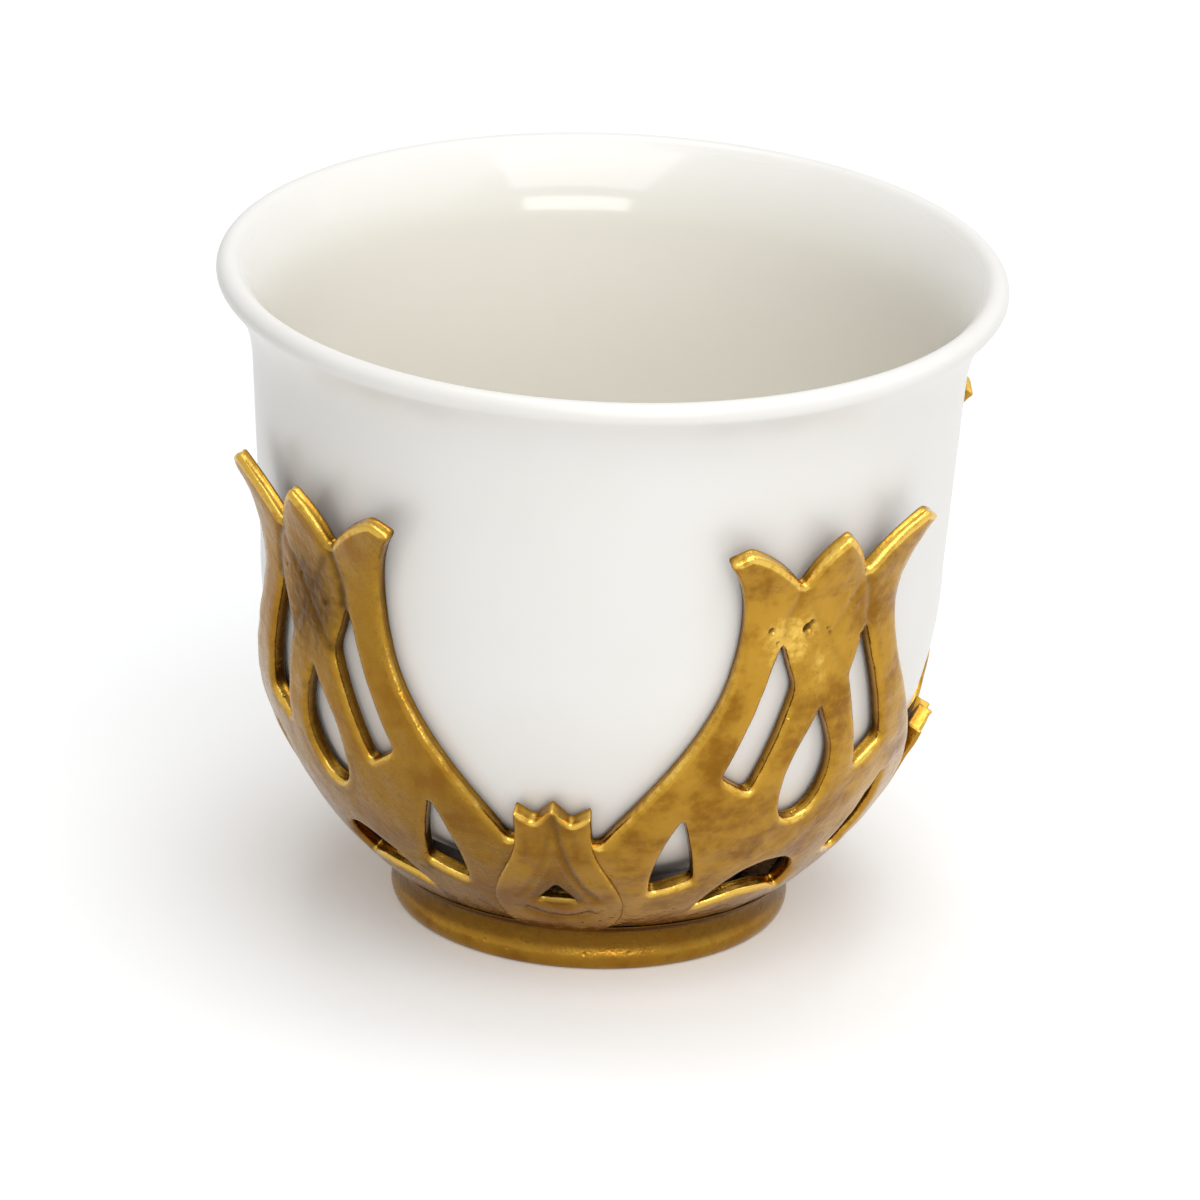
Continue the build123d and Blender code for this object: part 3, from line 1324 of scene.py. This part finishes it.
@dataclass(frozen=True)
class FootRing:
    """Round foot of the holder: bead with painted highlight, neck with painted shade, solder
    fillet, closed floor.
    """

    radius: float = 16.3
    height: float = 4.0
    bead_height: float = 1.9
    bead_round: float = 0.5
    neck_depth: float = 0.22
    wall: float = 2.6
    floor_thickness: float = 1.6
    fillet_reach: float = 1.1
    fillet_rise: float = 0.3
    flare_start: float = 0.1
    flare_waist: Place = (0.12, 0.5)
    floor_inset: float = 0.6
    corner_reach: float = 0.2
    fine_step: float = 0.03
    longest_step: float = 0.8
    sharpest_turn: float = 8.0
    segments: int = 224
    neck_shade_start: float = 0.7
    neck_shade_rise: float = 1.2
    hollow_shade: float = 0.8
    highlight_width: float = 0.7

    def profile(self) -> Array:
        """Half section from the floor's underside, round the bead and neck, to its top.

        Returns:
            Radius and height of each point.
        """
        neck = self.radius - self.neck_depth
        underside = self.height - self.floor_thickness
        hollow = self.radius - self.wall
        bead = arc(
            (self.radius - self.bead_round, 0.0),
            (self.radius, self.bead_height / 2),
            (neck, self.bead_height),
        )
        flare = spline(
            [
                (neck, self.bead_height + self.flare_start),
                (neck + self.flare_waist[0] * self.fillet_reach, self.height - self.flare_waist[1]),
                (neck + self.fillet_reach, self.height + self.fillet_rise),
            ],
            (0.0, 1.0),
            (1.0, 0.7),
        )
        line = np.concatenate(
            [
                [(0.0, underside), (hollow, underside), (hollow, 0.0)],
                bead,
                flare,
                [(neck - self.floor_inset, self.height), (0.0, self.height)],
            ]
        )
        rounded = softened(line, self.corner_reach, self.fine_step, False)
        return spread(rounded, self.longest_step, self.sharpest_turn)

    def build(self) -> bpy.types.Object:
        """Turn the half section about the axis, paint shade on its neck and inside and a highlight
        on its bead.

        Returns:
            The foot ring.
        """
        profile = self.profile()
        surface = lathe(profile, self.segments)
        radius, height = profile[1:-1, 0], profile[1:-1, 1]
        outside = radius > self.radius - self.wall / 2
        # Painted shade that rises up the neck, under the overhang of the bowl, and lies evenly
        # inside the ring; a painted highlight on the bead.
        rise = np.clip((height - self.bead_height + self.neck_shade_start) / self.neck_shade_rise, 0, 1)
        painted_shade = np.where(outside, rise**2 * (3 - 2 * rise), self.hollow_shade)
        bright = np.where(outside, bell(height - self.bead_height / 2, self.highlight_width), 0)
        # The whole ring is darkened a little, and more where the painted shade lies.
        surface.paint(RECESS_AND_SHADE, 0.3 + 0.3 * painted_shade, self.segments)
        surface.paint(WEAR_AND_HIGHLIGHT, 0.25 * bright, self.segments)
        return surface.piece("foot_ring_cast")

    def dress(self, piece: bpy.types.Object, material: bpy.types.Material) -> None:
        """Gild the foot ring and set it on the holder."""
        settle(piece, material, Body.HOLDER, "foot_ring")


@dataclass(frozen=True)
class SeatWasher:
    """Soft washer under the cup, with eased corners and three turned grooves."""

    outer_radius: float = 13.0
    width: float = 4.0
    low: float = 4.0
    thickness: float = 0.8
    groove_depth: float = 0.12
    grooves: int = 3
    groove_floor: float = 0.6
    plain_rim: float = 0.08
    corner_reach: float = 0.09
    ring_step: float = 0.16
    places: int = 120
    segments: int = 160

    def build(self) -> bpy.types.Object:
        """Carry the washer's closed section round the axis; its grooves are a clipped sine.

        Returns:
            The washer.
        """
        inner = self.outer_radius - self.width
        across = np.linspace(self.outer_radius, inner, self.places)
        share = np.linspace(0, 1, self.places)
        crest = 1 - self.groove_floor
        wave = np.sin(math.pi * (2 * self.grooves * share + 0.5))
        wave = np.maximum(wave, self.groove_floor) - self.groove_floor
        wave[np.abs(share - 0.5) > 0.5 - self.plain_rim] = crest
        height = self.low + self.thickness - self.groove_depth * (crest - wave) / crest
        low = [(inner, self.low), (self.outer_radius, self.low)]
        line = np.concatenate([low, np.stack([across, height], axis=-1)])
        section = softened(line, self.corner_reach, self.ring_step, True)
        return hoop(section, self.segments).piece("seat_washer")

    def dress(self, piece: bpy.types.Object, rubber: SoftRubber) -> None:
        """Give the washer its rubber and set it on its body."""
        settle(piece, rubber.material(), Body.WASHER, "seat_pad")


@dataclass(frozen=True)
class SmallTulip:
    """Small tulip between two panels: three petals, twisted strands and a three-sided hole."""

    bowl: Bowl
    foot_height: float = 4.0
    clearance: float = 0.35
    metal: float = 1.35
    height: float = 14.8
    lap: float = 0.4
    petal_rise: float = 1.7
    petal_curl: float = 0.3
    petal_curl_height: float = 3.0
    notch_offset: float = 1.5
    tip_offset: float = 3.2
    tip_drop: float = 0.6
    stem_half_width: float = 3.3
    stem_height: float = 10.2
    bulb_half_width: float = 5.2
    bulb_height: float = 4.5
    hole_sill: float = 3.9
    hole_height: float = 2.1
    hole_half_width: float = 1.6
    neck_radius: float = 15.98
    ground_depth: float = 0.2
    bulb_lift: float = 0.22
    bulb_lift_height: float = 1.6
    tarnish_and_shade: float = 0.2
    outline_round: float = 0.26
    hole_round: float = 0.28
    ring_step: float = 0.11
    face_step: float = 0.12
    back_step: float = 0.6
    least_metal: float = 0.5
    rim_inset: float = 0.9
    rim_half_width: float = 1.25
    leaf: tuple[Place, ...] = ((0.0, 14.8), (0.5, 12.4), (1.6, 8.6), (3.0, 5.2), (3.5, 3.4))
    leaf_half_width: float = 1.15
    cradle: tuple[Place, ...] = ((-3.1, 4.4), (0.0, 2.7), (3.1, 4.4))
    cradle_half_width: float = 0.7
    cradle_share: float = 0.85
    furrow: tuple[Place, ...] = ((0.2, 14.1), (0.4, 11.8), (1.0, 9.0), (2.1, 6.3), (3.2, 4.6))
    furrow_width: float = 0.36
    furrow_depth: float = 0.17
    furrow_shares: Place = (1.0, 0.55)
    sill_depth: float = 0.1
    sill_width: float = 0.4
    hole_shade_width: float = 1.3
    wave_length: float = 1.8
    wave_depth: float = 0.03
    wave_seed: int = 5

    @property
    def top(self) -> float:
        """Height of the middle petal's tip."""
        return self.foot_height + self.height

    def skin(self) -> Skin:
        """Outer face of the small tulip's metal."""
        away = self.clearance + self.metal
        return Skin(self.bowl, away, self.top, self.petal_curl, self.petal_curl_height)

    def flank(self, gap: float) -> Array:
        """Right-hand edge from the side petal's tip to the foot of the bulb, spread by a gap.

        Args:
            gap: How far the edge is moved outwards.

        Returns:
            Flat places along the edge, from the top.
        """
        return spline(
            [
                (self.tip_offset + gap, self.top - self.tip_drop),
                (self.stem_half_width + gap, self.foot_height + self.stem_height),
                (self.bulb_half_width + gap, self.foot_height + self.bulb_height),
                (0.0, self.foot_height - self.lap - gap),
            ],
            (0.0, -1.0),
            (-1.0, 0.0),
        )

    def outline(self) -> Array:
        """Closed outline, with its corners rounded.

        Returns:
            Flat places along the ring.
        """
        crown = [(0.0, self.top), (self.notch_offset, self.top - self.petal_rise)]
        ring = mirrored(np.concatenate([crown, self.flank(0.0)]))
        return softened(ring, self.outline_round, self.ring_step, True)

    def hole(self) -> Array:
        """Three-sided hole over the bulb.

        Returns:
            Flat places along the ring.
        """
        sill = self.foot_height + self.hole_sill
        corners = np.array(
            [
                (0.0, sill + self.hole_height),
                (-self.hole_half_width, sill),
                (self.hole_half_width, sill),
            ]
        )
        return softened(corners, self.hole_round, self.ring_step, True)

    def thickness(self, flat: Array) -> Array:
        """Thickness of the metal, less where it laps over the neck of the foot ring.

        Args:
            flat: Flat places, one row each.

        Returns:
            One thickness for each place.
        """
        skin = self.skin()
        room = (skin.radius(flat[:, 1]) - self.neck_radius) / skin.lean(flat[:, 1])[0]
        return np.minimum(self.metal, np.maximum(room, self.least_metal))

    def relief(self, plan: SheetPlan) -> tuple[Array, Array]:
        """Sunk ground between raised strands of half-round section.

        A strand's height is sqrt(1 - (d / w) ** 2) at a distance d from its middle line, where w
        is its half width. The highest strand counts, and the ground lies under them all.

        Args:
            plan: Places on the face.

        Returns:
            Depth under the face, and darkening: patina in the ground and furrow, painted shade
                round the hole.
        """
        flat = plan.flat
        rise = np.array([0.0, self.foot_height])

        def strand(apart: Array, half: float) -> Array:
            """Height of a half-round strand at a distance from its middle line."""
            return np.sqrt(np.maximum(1 - (apart / half) ** 2, 0))

        leaf = distance(folded(flat), spline(self.leaf + rise), False)
        cradle = distance(flat, arc(*(self.cradle + rise)), False)
        high = strand(plan.from_outline - self.rim_inset, self.rim_half_width)
        high = np.maximum(high, strand(leaf, self.leaf_half_width))
        high = np.maximum(high, self.cradle_share * strand(cradle, self.cradle_half_width))
        uneven = self.wave_depth * (1 + ripple(flat, self.wave_length, self.wave_seed))
        eased = self.sill_depth * bell(plan.from_openings, self.sill_width)
        near = bell(plan.from_openings, self.hole_shade_width)
        furrow = spline(self.furrow + rise)
        sides = zip((flat, flat * [-1, 1]), self.furrow_shares)
        groove = sum(
            share * bell(distance(side, furrow, False), self.furrow_width) for side, share in sides
        )
        # Darkening: a tone over the whole small tulip, patina in the sunk ground and the furrows,
        # and painted shade round the hole.
        recess = self.tarnish_and_shade + (0.1 + 0.4 * near) * (1 - high) + 0.4 * groove
        lift = self.bulb_lift * bell(flat[:, 1] - self.foot_height, self.bulb_lift_height)
        sunk = self.ground_depth * (1 - high) + self.furrow_depth * groove + uneven + eased - lift
        return sunk, recess

    def surface(self) -> Surface:
        """Cut sheet of the small tulip, facing +X.

        Returns:
            The closed surface.
        """
        edge = CutEdge(outer_round=0.27, inner_round=0.12, face_inset=0.34, hollow=0.02)
        steps = self.face_step, self.back_step
        sheet = CutSheet(self.skin(), self.outline(), [self.hole()], edge, *steps)
        plan = sheet.plan()
        return sheet.surface(plan, self.thickness(plan.flat), *self.relief(plan))

    def build(self) -> dict[Side, bpy.types.Object]:
        """Turn copies of the small tulip to their places.

        Returns:
            The pieces, by their sides.
        """
        surface = self.surface()
        return {
            side: surface.turned(side.value).piece(f"small_tulip_{side.label}_cast")
            for side in SMALL_SIDES
        }

    def dress(self, pieces: dict[Side, bpy.types.Object], gold: bpy.types.Material) -> None:
        """Gild the small tulips and set them on the holder."""
        gild(pieces, "small_tulip", gold)


@dataclass(frozen=True)
class TulipPanel:
    """Large tulip panel: three petals, two slots, a teardrop, two flank holes and a crescent."""

    bowl: Bowl
    small: SmallTulip
    foot_height: float = 4.0
    clearance: float = 0.35
    metal: float = 1.35
    overlap: float = 0.5
    tuck: float = 0.35
    petal_top: float = 42.1
    notch_z: float = 38.0
    petal_curl: float = 2.0
    petal_curl_height: float = 9.0
    petal_bulge: float = 0.4
    petal_tip_reach: float = 10.7
    petal_tip_width: float = 1.7
    petal_tip_drop: float = 0.9
    middle_half_width: float = 3.2
    middle_rise: float = 4.2
    waist: Place = (7.9, 6.7)
    hip: Place = (10.3, 16.0)
    skirt: Place = (15.3, 27.3)
    lens_bottom: float = 6.5
    lens_top: float = 11.4
    lens_lower_rise: float = 1.1
    lens_half_width: float = 4.2
    teardrop_bottom: float = 15.9
    teardrop_height: float = 11.0
    teardrop_belly_rise: float = 4.1
    teardrop_half_width: float = 2.3
    slot_corners: tuple[Place, ...] = ((4.3, 33.3), (2.7, 29.0), (5.4, 19.6), (8.2, 21.5))
    flank_top: Place = (10.2, 17.6)
    flank_inner: Place = (6.6, 10.3)
    flank_outer: Place = (9.4, 9.0)
    flank_bulge: float = 0.9
    outline_round: float = 0.34
    drop_round: float = 0.14
    slot_round: float = 0.52
    flank_round: float = 0.36
    pillow_width: float = 1.5
    pillow_depth: float = 0.26
    seam_width: float = 1.1
    seam_depth: float = 0.14
    line_depth: float = 0.13
    line_width: float = 0.42
    petal_line_inset: float = 0.1
    petal_line_bend: Place = (4.05, 35.6)
    cross_line: tuple[Place, ...] = ((1.1, 31.2), (-0.6, 33.8), (-2.6, 37.0))
    cradle_line: tuple[Place, ...] = ((0.0, -1.0), (1.8, -0.2), (3.2, 3.4))
    sill_depth: float = 0.16
    sill_width: float = 0.9
    pit_depth: float = 0.9
    pit_dark: float = 2.6
    seam_dark: float = 0.25
    line_dark: float = 0.3
    wave_length: float = 3.2
    wave_depth: float = 0.04
    grain_length: float = 0.9
    grain_depth: float = 0.008
    crown_grain_depth: float = 0.022
    smudge_length: float = 1.2
    ring_step: float = 0.16
    # Per panel: some tarnish on all, and painted shade that is deepest on the front-left panel and
    # least on the front-right one.
    tarnish_and_shade: tuple[float, ...] = (0.06, 0.15, 0.12, 0.4)
    smudges: tuple[float, ...] = (0.0, 0.3, 0.2, 0.5)
    # Painted highlights on the crown: their strength on each panel, strongest on the front-right
    # one, and their spots.
    painted_highlights: tuple[float, ...] = (1.0, 0.4, 0.4, 0.13)
    crown: Spot = Spot((0.0, 32.8), (3.0, 4.2))
    highlight_spots: tuple[Spot, ...] = (
        Spot((-3.8, 33.6), (3.9, 3.6), 0.77),
        Spot((-1.3, 30.8), (3.4, 5.0), 0.53),
    )
    pit_count: int = 9
    pit_seed: int = 11
    front_pits: tuple[tuple[float, float, float], ...] = (
        (-2.3, 34.3, 0.42),
        (-1.9, 34.7, 0.3),
        (-5.6, 34.6, 0.3),
        (-4.9, 33.4, 0.22),
    )

    def skin(self) -> Skin:
        """Outer face of the panel's metal."""
        away = self.clearance + self.metal
        return Skin(self.bowl, away, self.petal_top, self.petal_curl, self.petal_curl_height)

    def seam_line(self) -> Array:
        """Edge of the small tulip beside the panel, as flat places of the panel, from the top.

        On the face of radius r a place y sideways of the small tulip stands at the angle
        45 degrees less the arcsine of y / r from the panel's middle.

        Returns:
            Flat places along the edge, one row each.
        """
        beside = self.small.flank(-self.overlap)
        radius = self.skin().radius(beside[:, 1])
        angle = math.radians(45) - np.arcsin(beside[:, 0] / radius)
        return np.stack([radius * np.sin(angle), beside[:, 1]], axis=-1)

    def outline(self) -> Array:
        """Closed outline from the middle petal round both sides, with its corners rounded.

        Returns:
            Flat places along the ring.
        """
        tip = (self.petal_tip_reach - self.petal_tip_width, self.petal_top)
        corner = (self.petal_tip_reach, self.petal_top - self.petal_tip_drop)
        notch = (self.middle_half_width, self.notch_z)
        low = [(x, self.petal_top - drop) for x, drop in (self.waist, self.hip, self.skirt)]
        edge = spline([corner, *low])
        seam = self.seam_line()
        limit = np.interp(edge[:, 1], seam[::-1, 1], seam[::-1, 0])
        edge = edge[edge[:, 0] < limit]
        bottom = self.foot_height - self.tuck
        seam = seam[(seam[:, 1] < edge[-1, 1]) & (seam[:, 1] > bottom)]
        right = np.concatenate(
            [
                bowed((0.0, self.notch_z + self.middle_rise), notch, self.petal_bulge),
                bowed(notch, tip, self.petal_bulge)[1:],
                edge,
                seam,
                [(seam[-1, 0], bottom), (0.0, bottom)],
            ]
        )
        return softened(mirrored(right), self.outline_round, self.ring_step, True)

    def openings(self) -> list[Array]:
        """Rings of the teardrop, the crescent, both slots and both flank holes.

        Returns:
            Flat places along each ring.
        """
        drop_top = (0.0, self.teardrop_bottom + self.teardrop_height)
        drop = spline(
            [
                drop_top,
                (self.teardrop_half_width, self.teardrop_bottom + self.teardrop_belly_rise),
                (0.0, self.teardrop_bottom),
            ],
            (self.teardrop_half_width, -self.teardrop_height / 2),
            (-1.0, 0.0),
        )
        ends = [(side * self.lens_half_width, self.lens_bottom) for side in (-1, 1)]
        crescent = np.concatenate(
            [
                arc(ends[0], (0.0, self.lens_top), ends[1])[:-1],
                arc(ends[1], (0.0, self.lens_bottom + self.lens_lower_rise), ends[0])[:-1],
            ]
        )
        slot = np.array(self.slot_corners)
        flank = np.concatenate(
            [
                [self.flank_inner, self.flank_outer],
                bowed(self.flank_top, self.flank_outer, self.flank_bulge)[::-1][1:],
            ]
        )
        rings = [(mirrored(drop), self.drop_round), (crescent, self.drop_round)]
        for mirror in ([1, 1], [-1, 1]):
            rings += [(slot * mirror, self.slot_round), (flank * mirror, self.flank_round)]
        return [softened(ring, reach, self.ring_step, True) for ring, reach in rings]

    def lines(self) -> list[tuple[Array, float]]:
        """Engraved lines of the right half and how deep each is, in shares of the usual depth.

        Returns:
            Flat places along each line, and its share.
        """
        notch = (self.middle_half_width, self.notch_z)
        top, knee = self.slot_corners[:2]
        petal = [(top[0] - self.petal_line_inset, top[1]), self.petal_line_bend, notch]
        cradle = self.cradle_line + np.array([0.0, self.teardrop_bottom])
        lines = ((petal, 1.0), ([knee, *self.cross_line], 0.55), (cradle, 0.35))
        return [(spline(line, count=30), share) for line, share in lines]

    def engraving(self, plan: SheetPlan) -> Array:
        """How far each place lies in an engraved line: a bell curve of the distance from it.

        Args:
            plan: Places on the face.

        Returns:
            One share for each place.
        """
        beside = folded(plan.flat)
        cut = np.zeros(len(plan.flat))
        for line, share in self.lines():
            for side in (beside, beside * [-1, 1]):
                near = bell(distance(side, line, False), self.line_width)
                cut = np.maximum(cut, share * near)
        return cut

    def relief(self, plan: SheetPlan, cut: Array, side: Side) -> tuple[Array, Array, Array]:
        """Relief of a panel's face: pillowed edges, sunk seams, valleys, pits and unevenness.

        Edges and seams fall off as a square law of the distance from them, and a pit is a
        flat-topped bell curve of the distance from its middle.

        Args:
            plan: Places on the face.
            cut: How far each lies in an engraved line.
            side: Panel that the relief is for.

        Returns:
            Depth under the face, darkening by patina and painted shade, and the strength of painted
            highlights.
        """
        seed = PANEL_SIDES.index(side)
        flat = plan.flat
        from_seam = distance(folded(flat), self.seam_line()[::4], False)
        seam = np.maximum(1 - from_seam / self.seam_width, 0) ** 2
        edge = np.maximum(1 - plan.from_outline / self.pillow_width, 0) ** 2
        sill = np.maximum(1 - plan.from_openings / self.sill_width, 0) ** 2
        pits = np.array(self.pits(side))
        apart = np.linalg.norm(flat[:, None] - pits[:, :2], axis=2)
        pocks = (pits[:, 2] * np.exp(-((apart / pits[:, 2]) ** 4))).max(axis=1)
        crown = self.crown.over(flat)
        grain = self.grain_depth + self.crown_grain_depth * crown
        uneven = self.wave_depth * (1 + ripple(flat, self.wave_length, seed))
        uneven = uneven + grain * (1 + ripple(flat, self.grain_length, seed + 50))
        sunk = self.pillow_depth * edge + self.seam_depth * seam + self.sill_depth * sill
        sunk = sunk + self.line_depth * cut + self.pit_depth * pocks + uneven
        smudge = crown * (1 + 0.25 * ripple(flat, self.smudge_length, seed + 90))
        # Darkening: the panel's tarnish and painted shade, dark smudges on the crown, dark seams,
        # and patina in lines and pits.
        recess = self.tarnish_and_shade[seed] + self.smudges[seed] * smudge + self.seam_dark * seam
        recess = recess + self.line_dark * cut + self.pit_dark * pocks
        # Painted highlight on the crown, in bright rubbed gold.
        painted_highlight = self.painted_highlights[seed] * np.max([rub.over(flat) for rub in self.highlight_spots], axis=0)
        return np.maximum(sunk, 0), np.clip(recess, 0, 1), painted_highlight

    def pits(self, side: Side) -> list[tuple[float, float, float]]:
        """Casting pits of one panel, most of them in the crown above the slots.

        Args:
            side: Panel that the pits are for.

        Returns:
            Sideways distance, height and radius of each pit.
        """
        draw = np.random.default_rng(self.pit_seed + PANEL_SIDES.index(side))
        across = draw.normal(0.0, 3.0, self.pit_count)
        up = draw.uniform(27.5, 37.0, self.pit_count)
        size = draw.uniform(0.08, 0.2, self.pit_count)
        found = list(zip(across.tolist(), up.tolist(), size.tolist()))
        return found + list(self.front_pits) if side is Side.FRONT_RIGHT else found

    def build(self) -> dict[Side, bpy.types.Object]:
        """Work out each panel with its own unevenness and turn it to its place.

        Returns:
            The pieces, by their sides.
        """
        sheet = CutSheet(self.skin(), self.outline(), self.openings())
        plan = sheet.plan()
        cut = self.engraving(plan)
        thickness = np.full(len(plan.flat), self.metal)
        made = {}
        for side in PANEL_SIDES:
            surface = sheet.surface(plan, thickness, *self.relief(plan, cut, side))
            made[side] = surface.turned(side.value).piece(f"tulip_panel_{side.label}_cast")
        return made

    def dress(self, pieces: dict[Side, bpy.types.Object], gold: bpy.types.Material) -> None:
        """Gild the panels and set them on the holder."""
        gild(pieces, "tulip_panel", gold)


@dataclass(frozen=True)
class Softbox:
    """Flat lamp that faces the cup."""

    name: str
    azimuth: float
    elevation: float
    distance: float
    width: float
    height: float
    radiance: float

    def hang(self, aim: Vector) -> None:
        """Hang the lamp where it belongs.

        Args:
            aim: Point that it faces.
        """
        data = bpy.data.lights.new(self.name, "AREA")
        data.shape = "RECTANGLE"
        data.size, data.size_y = self.width, self.height
        data.energy = self.radiance * math.pi * self.width * self.height
        lamp = bpy.data.objects.new(self.name, data)
        back = direction(self.azimuth, self.elevation)
        lamp.location = aim + back * self.distance
        lamp.rotation_euler = (-back).to_track_quat("-Z", "Y").to_euler()
        bpy.context.scene.collection.objects.link(lamp)


def direction(azimuth: float, elevation: float) -> Vector:
    """Unit vector towards an azimuth, 0 at -Y and 90 at +X, and an elevation, in degrees."""
    a, e = math.radians(azimuth), math.radians(elevation)
    return Vector((math.sin(a) * math.cos(e), -math.cos(a) * math.cos(e), math.sin(e)))


@dataclass(frozen=True)
class Studio:
    """White floor and surroundings, soft lamps, and the camera at the photograph's angle."""

    aim: tuple[float, float, float] = (0.0, 0.0, 0.026)
    azimuth: float = 6.7
    elevation: float = 22.1
    roll: float = 2.3
    distance: float = 0.95
    view_width: float = 0.098
    sensor: float = 36.0
    clip: Place = (0.01, 50.0)
    floor_reach: float = 6.0
    sky: float = 0.3
    floor_glow: float = 0.18
    floor_white: Colour = (0.86, 0.86, 0.86)
    floor_shown: Colour = (0.978, 0.993, 1.0)

    def lamps(self) -> list[Softbox]:
        """Softboxes: a wide one over the camera, one low in front, one at the right, one on top.

        Returns:
            The lamps.
        """
        return [
            Softbox("key_softbox", 20.0, 52.0, 1.2, 0.95, 0.95, 2.1),
            Softbox("low_softbox", 20.0, 16.0, 1.2, 0.75, 0.24, 4.6),
            Softbox("right_softbox", 92.0, 45.0, 1.1, 1.2, 1.2, 0.5),
            Softbox("top_softbox", 180.0, 78.0, 1.2, 0.7, 0.7, 3.0),
        ]

    def floor(self) -> bpy.types.Object:
        """Flat floor that keeps the shadow and is white where nothing shades it.

        Returns:
            The floor, as part of the stage.
        """
        half = self.floor_reach / METRES_PER_MM
        corners = np.array([(-half, -half, 0), (half, -half, 0), (half, half, 0), (-half, half, 0)])
        quads = np.array([[0, 1, 2, 3]])
        made = Surface(corners.astype(float), np.zeros((0, 3), int), quads).piece("floor")
        material = bpy.data.materials.new("white_floor")
        web = NodeWeb(material)
        plain = web.node("ShaderNodeBsdfDiffuse", sockets={"Color": (*self.floor_white, 1.0)})
        bright = web.node("ShaderNodeBsdfDiffuse", sockets={"Color": (*self.floor_shown, 1.0)})
        glow = web.node("ShaderNodeEmission", sockets={"Strength": self.floor_glow})
        shown = web.node(
            "ShaderNodeAddShader",
            sockets={0: bright.outputs["BSDF"], 1: glow.outputs["Emission"]},
        )
        mixed = web.node(
            "ShaderNodeMixShader",
            sockets={
                0: web.background_rays(),
                1: plain.outputs["BSDF"],
                2: shown.outputs["Shader"],
            },
        )
        web.node("ShaderNodeOutputMaterial", sockets={"Surface": mixed.outputs["Shader"]})
        made.data.materials.append(material)
        return made

    def world(self) -> None:
        """White surroundings, which light the cup less than they show."""
        made = bpy.data.worlds.new("white_room")
        bpy.context.scene.world = made
        web = NodeWeb(made)
        strength = self.sky + (1 - self.sky) * web.background_rays()
        light = web.node(
            "ShaderNodeBackground", sockets={"Color": (1.0, 1.0, 1.0, 1.0), "Strength": strength}
        )
        web.node("ShaderNodeOutputWorld", sockets={"Surface": light.outputs["Background"]})

    def camera(self) -> None:
        """Long lens at the photograph's angle, turned by the photograph's small lean."""
        data = bpy.data.cameras.new("camera")
        data.sensor_width = self.sensor
        data.lens = self.sensor * self.distance / self.view_width
        data.clip_start, data.clip_end = self.clip
        made = bpy.data.objects.new("camera", data)
        back = direction(self.azimuth, self.elevation)
        look = (-back).to_track_quat("-Z", "Y").to_matrix()
        look = look @ Matrix.Rotation(math.radians(self.roll), 3, "Z")
        place = Matrix.Translation(Vector(self.aim) + back * self.distance)
        made.matrix_world = place @ look.to_4x4()
        bpy.context.scene.collection.objects.link(made)
        bpy.context.scene.camera = made

    def build(self) -> None:
        """Set up the floor, surroundings, lamps, camera and plain colours."""
        self.floor()
        self.world()
        for lamp in self.lamps():
            lamp.hang(Vector(self.aim))
        self.camera()
        bpy.context.scene.view_settings.view_transform = "Standard"


def main() -> None:
    """Build and dress every piece, then the studio."""
    logging.basicConfig(level=logging.INFO, format="%(name)s: %(message)s")
    bowl = Bowl()
    gold = AntiqueGold().material()
    cup = PorcelainCup(bowl)
    cup.dress(cup.build(), WhiteGlaze())
    foot = FootRing()
    foot.dress(foot.build(), gold)
    washer = SeatWasher()
    washer.dress(washer.build(), SoftRubber())
    small = SmallTulip(bowl)
    small.dress(small.build(), gold)
    panel = TulipPanel(bowl, small)
    panel.dress(panel.build(), gold)
    Studio().build()


if __name__ == "__main__":
    main()
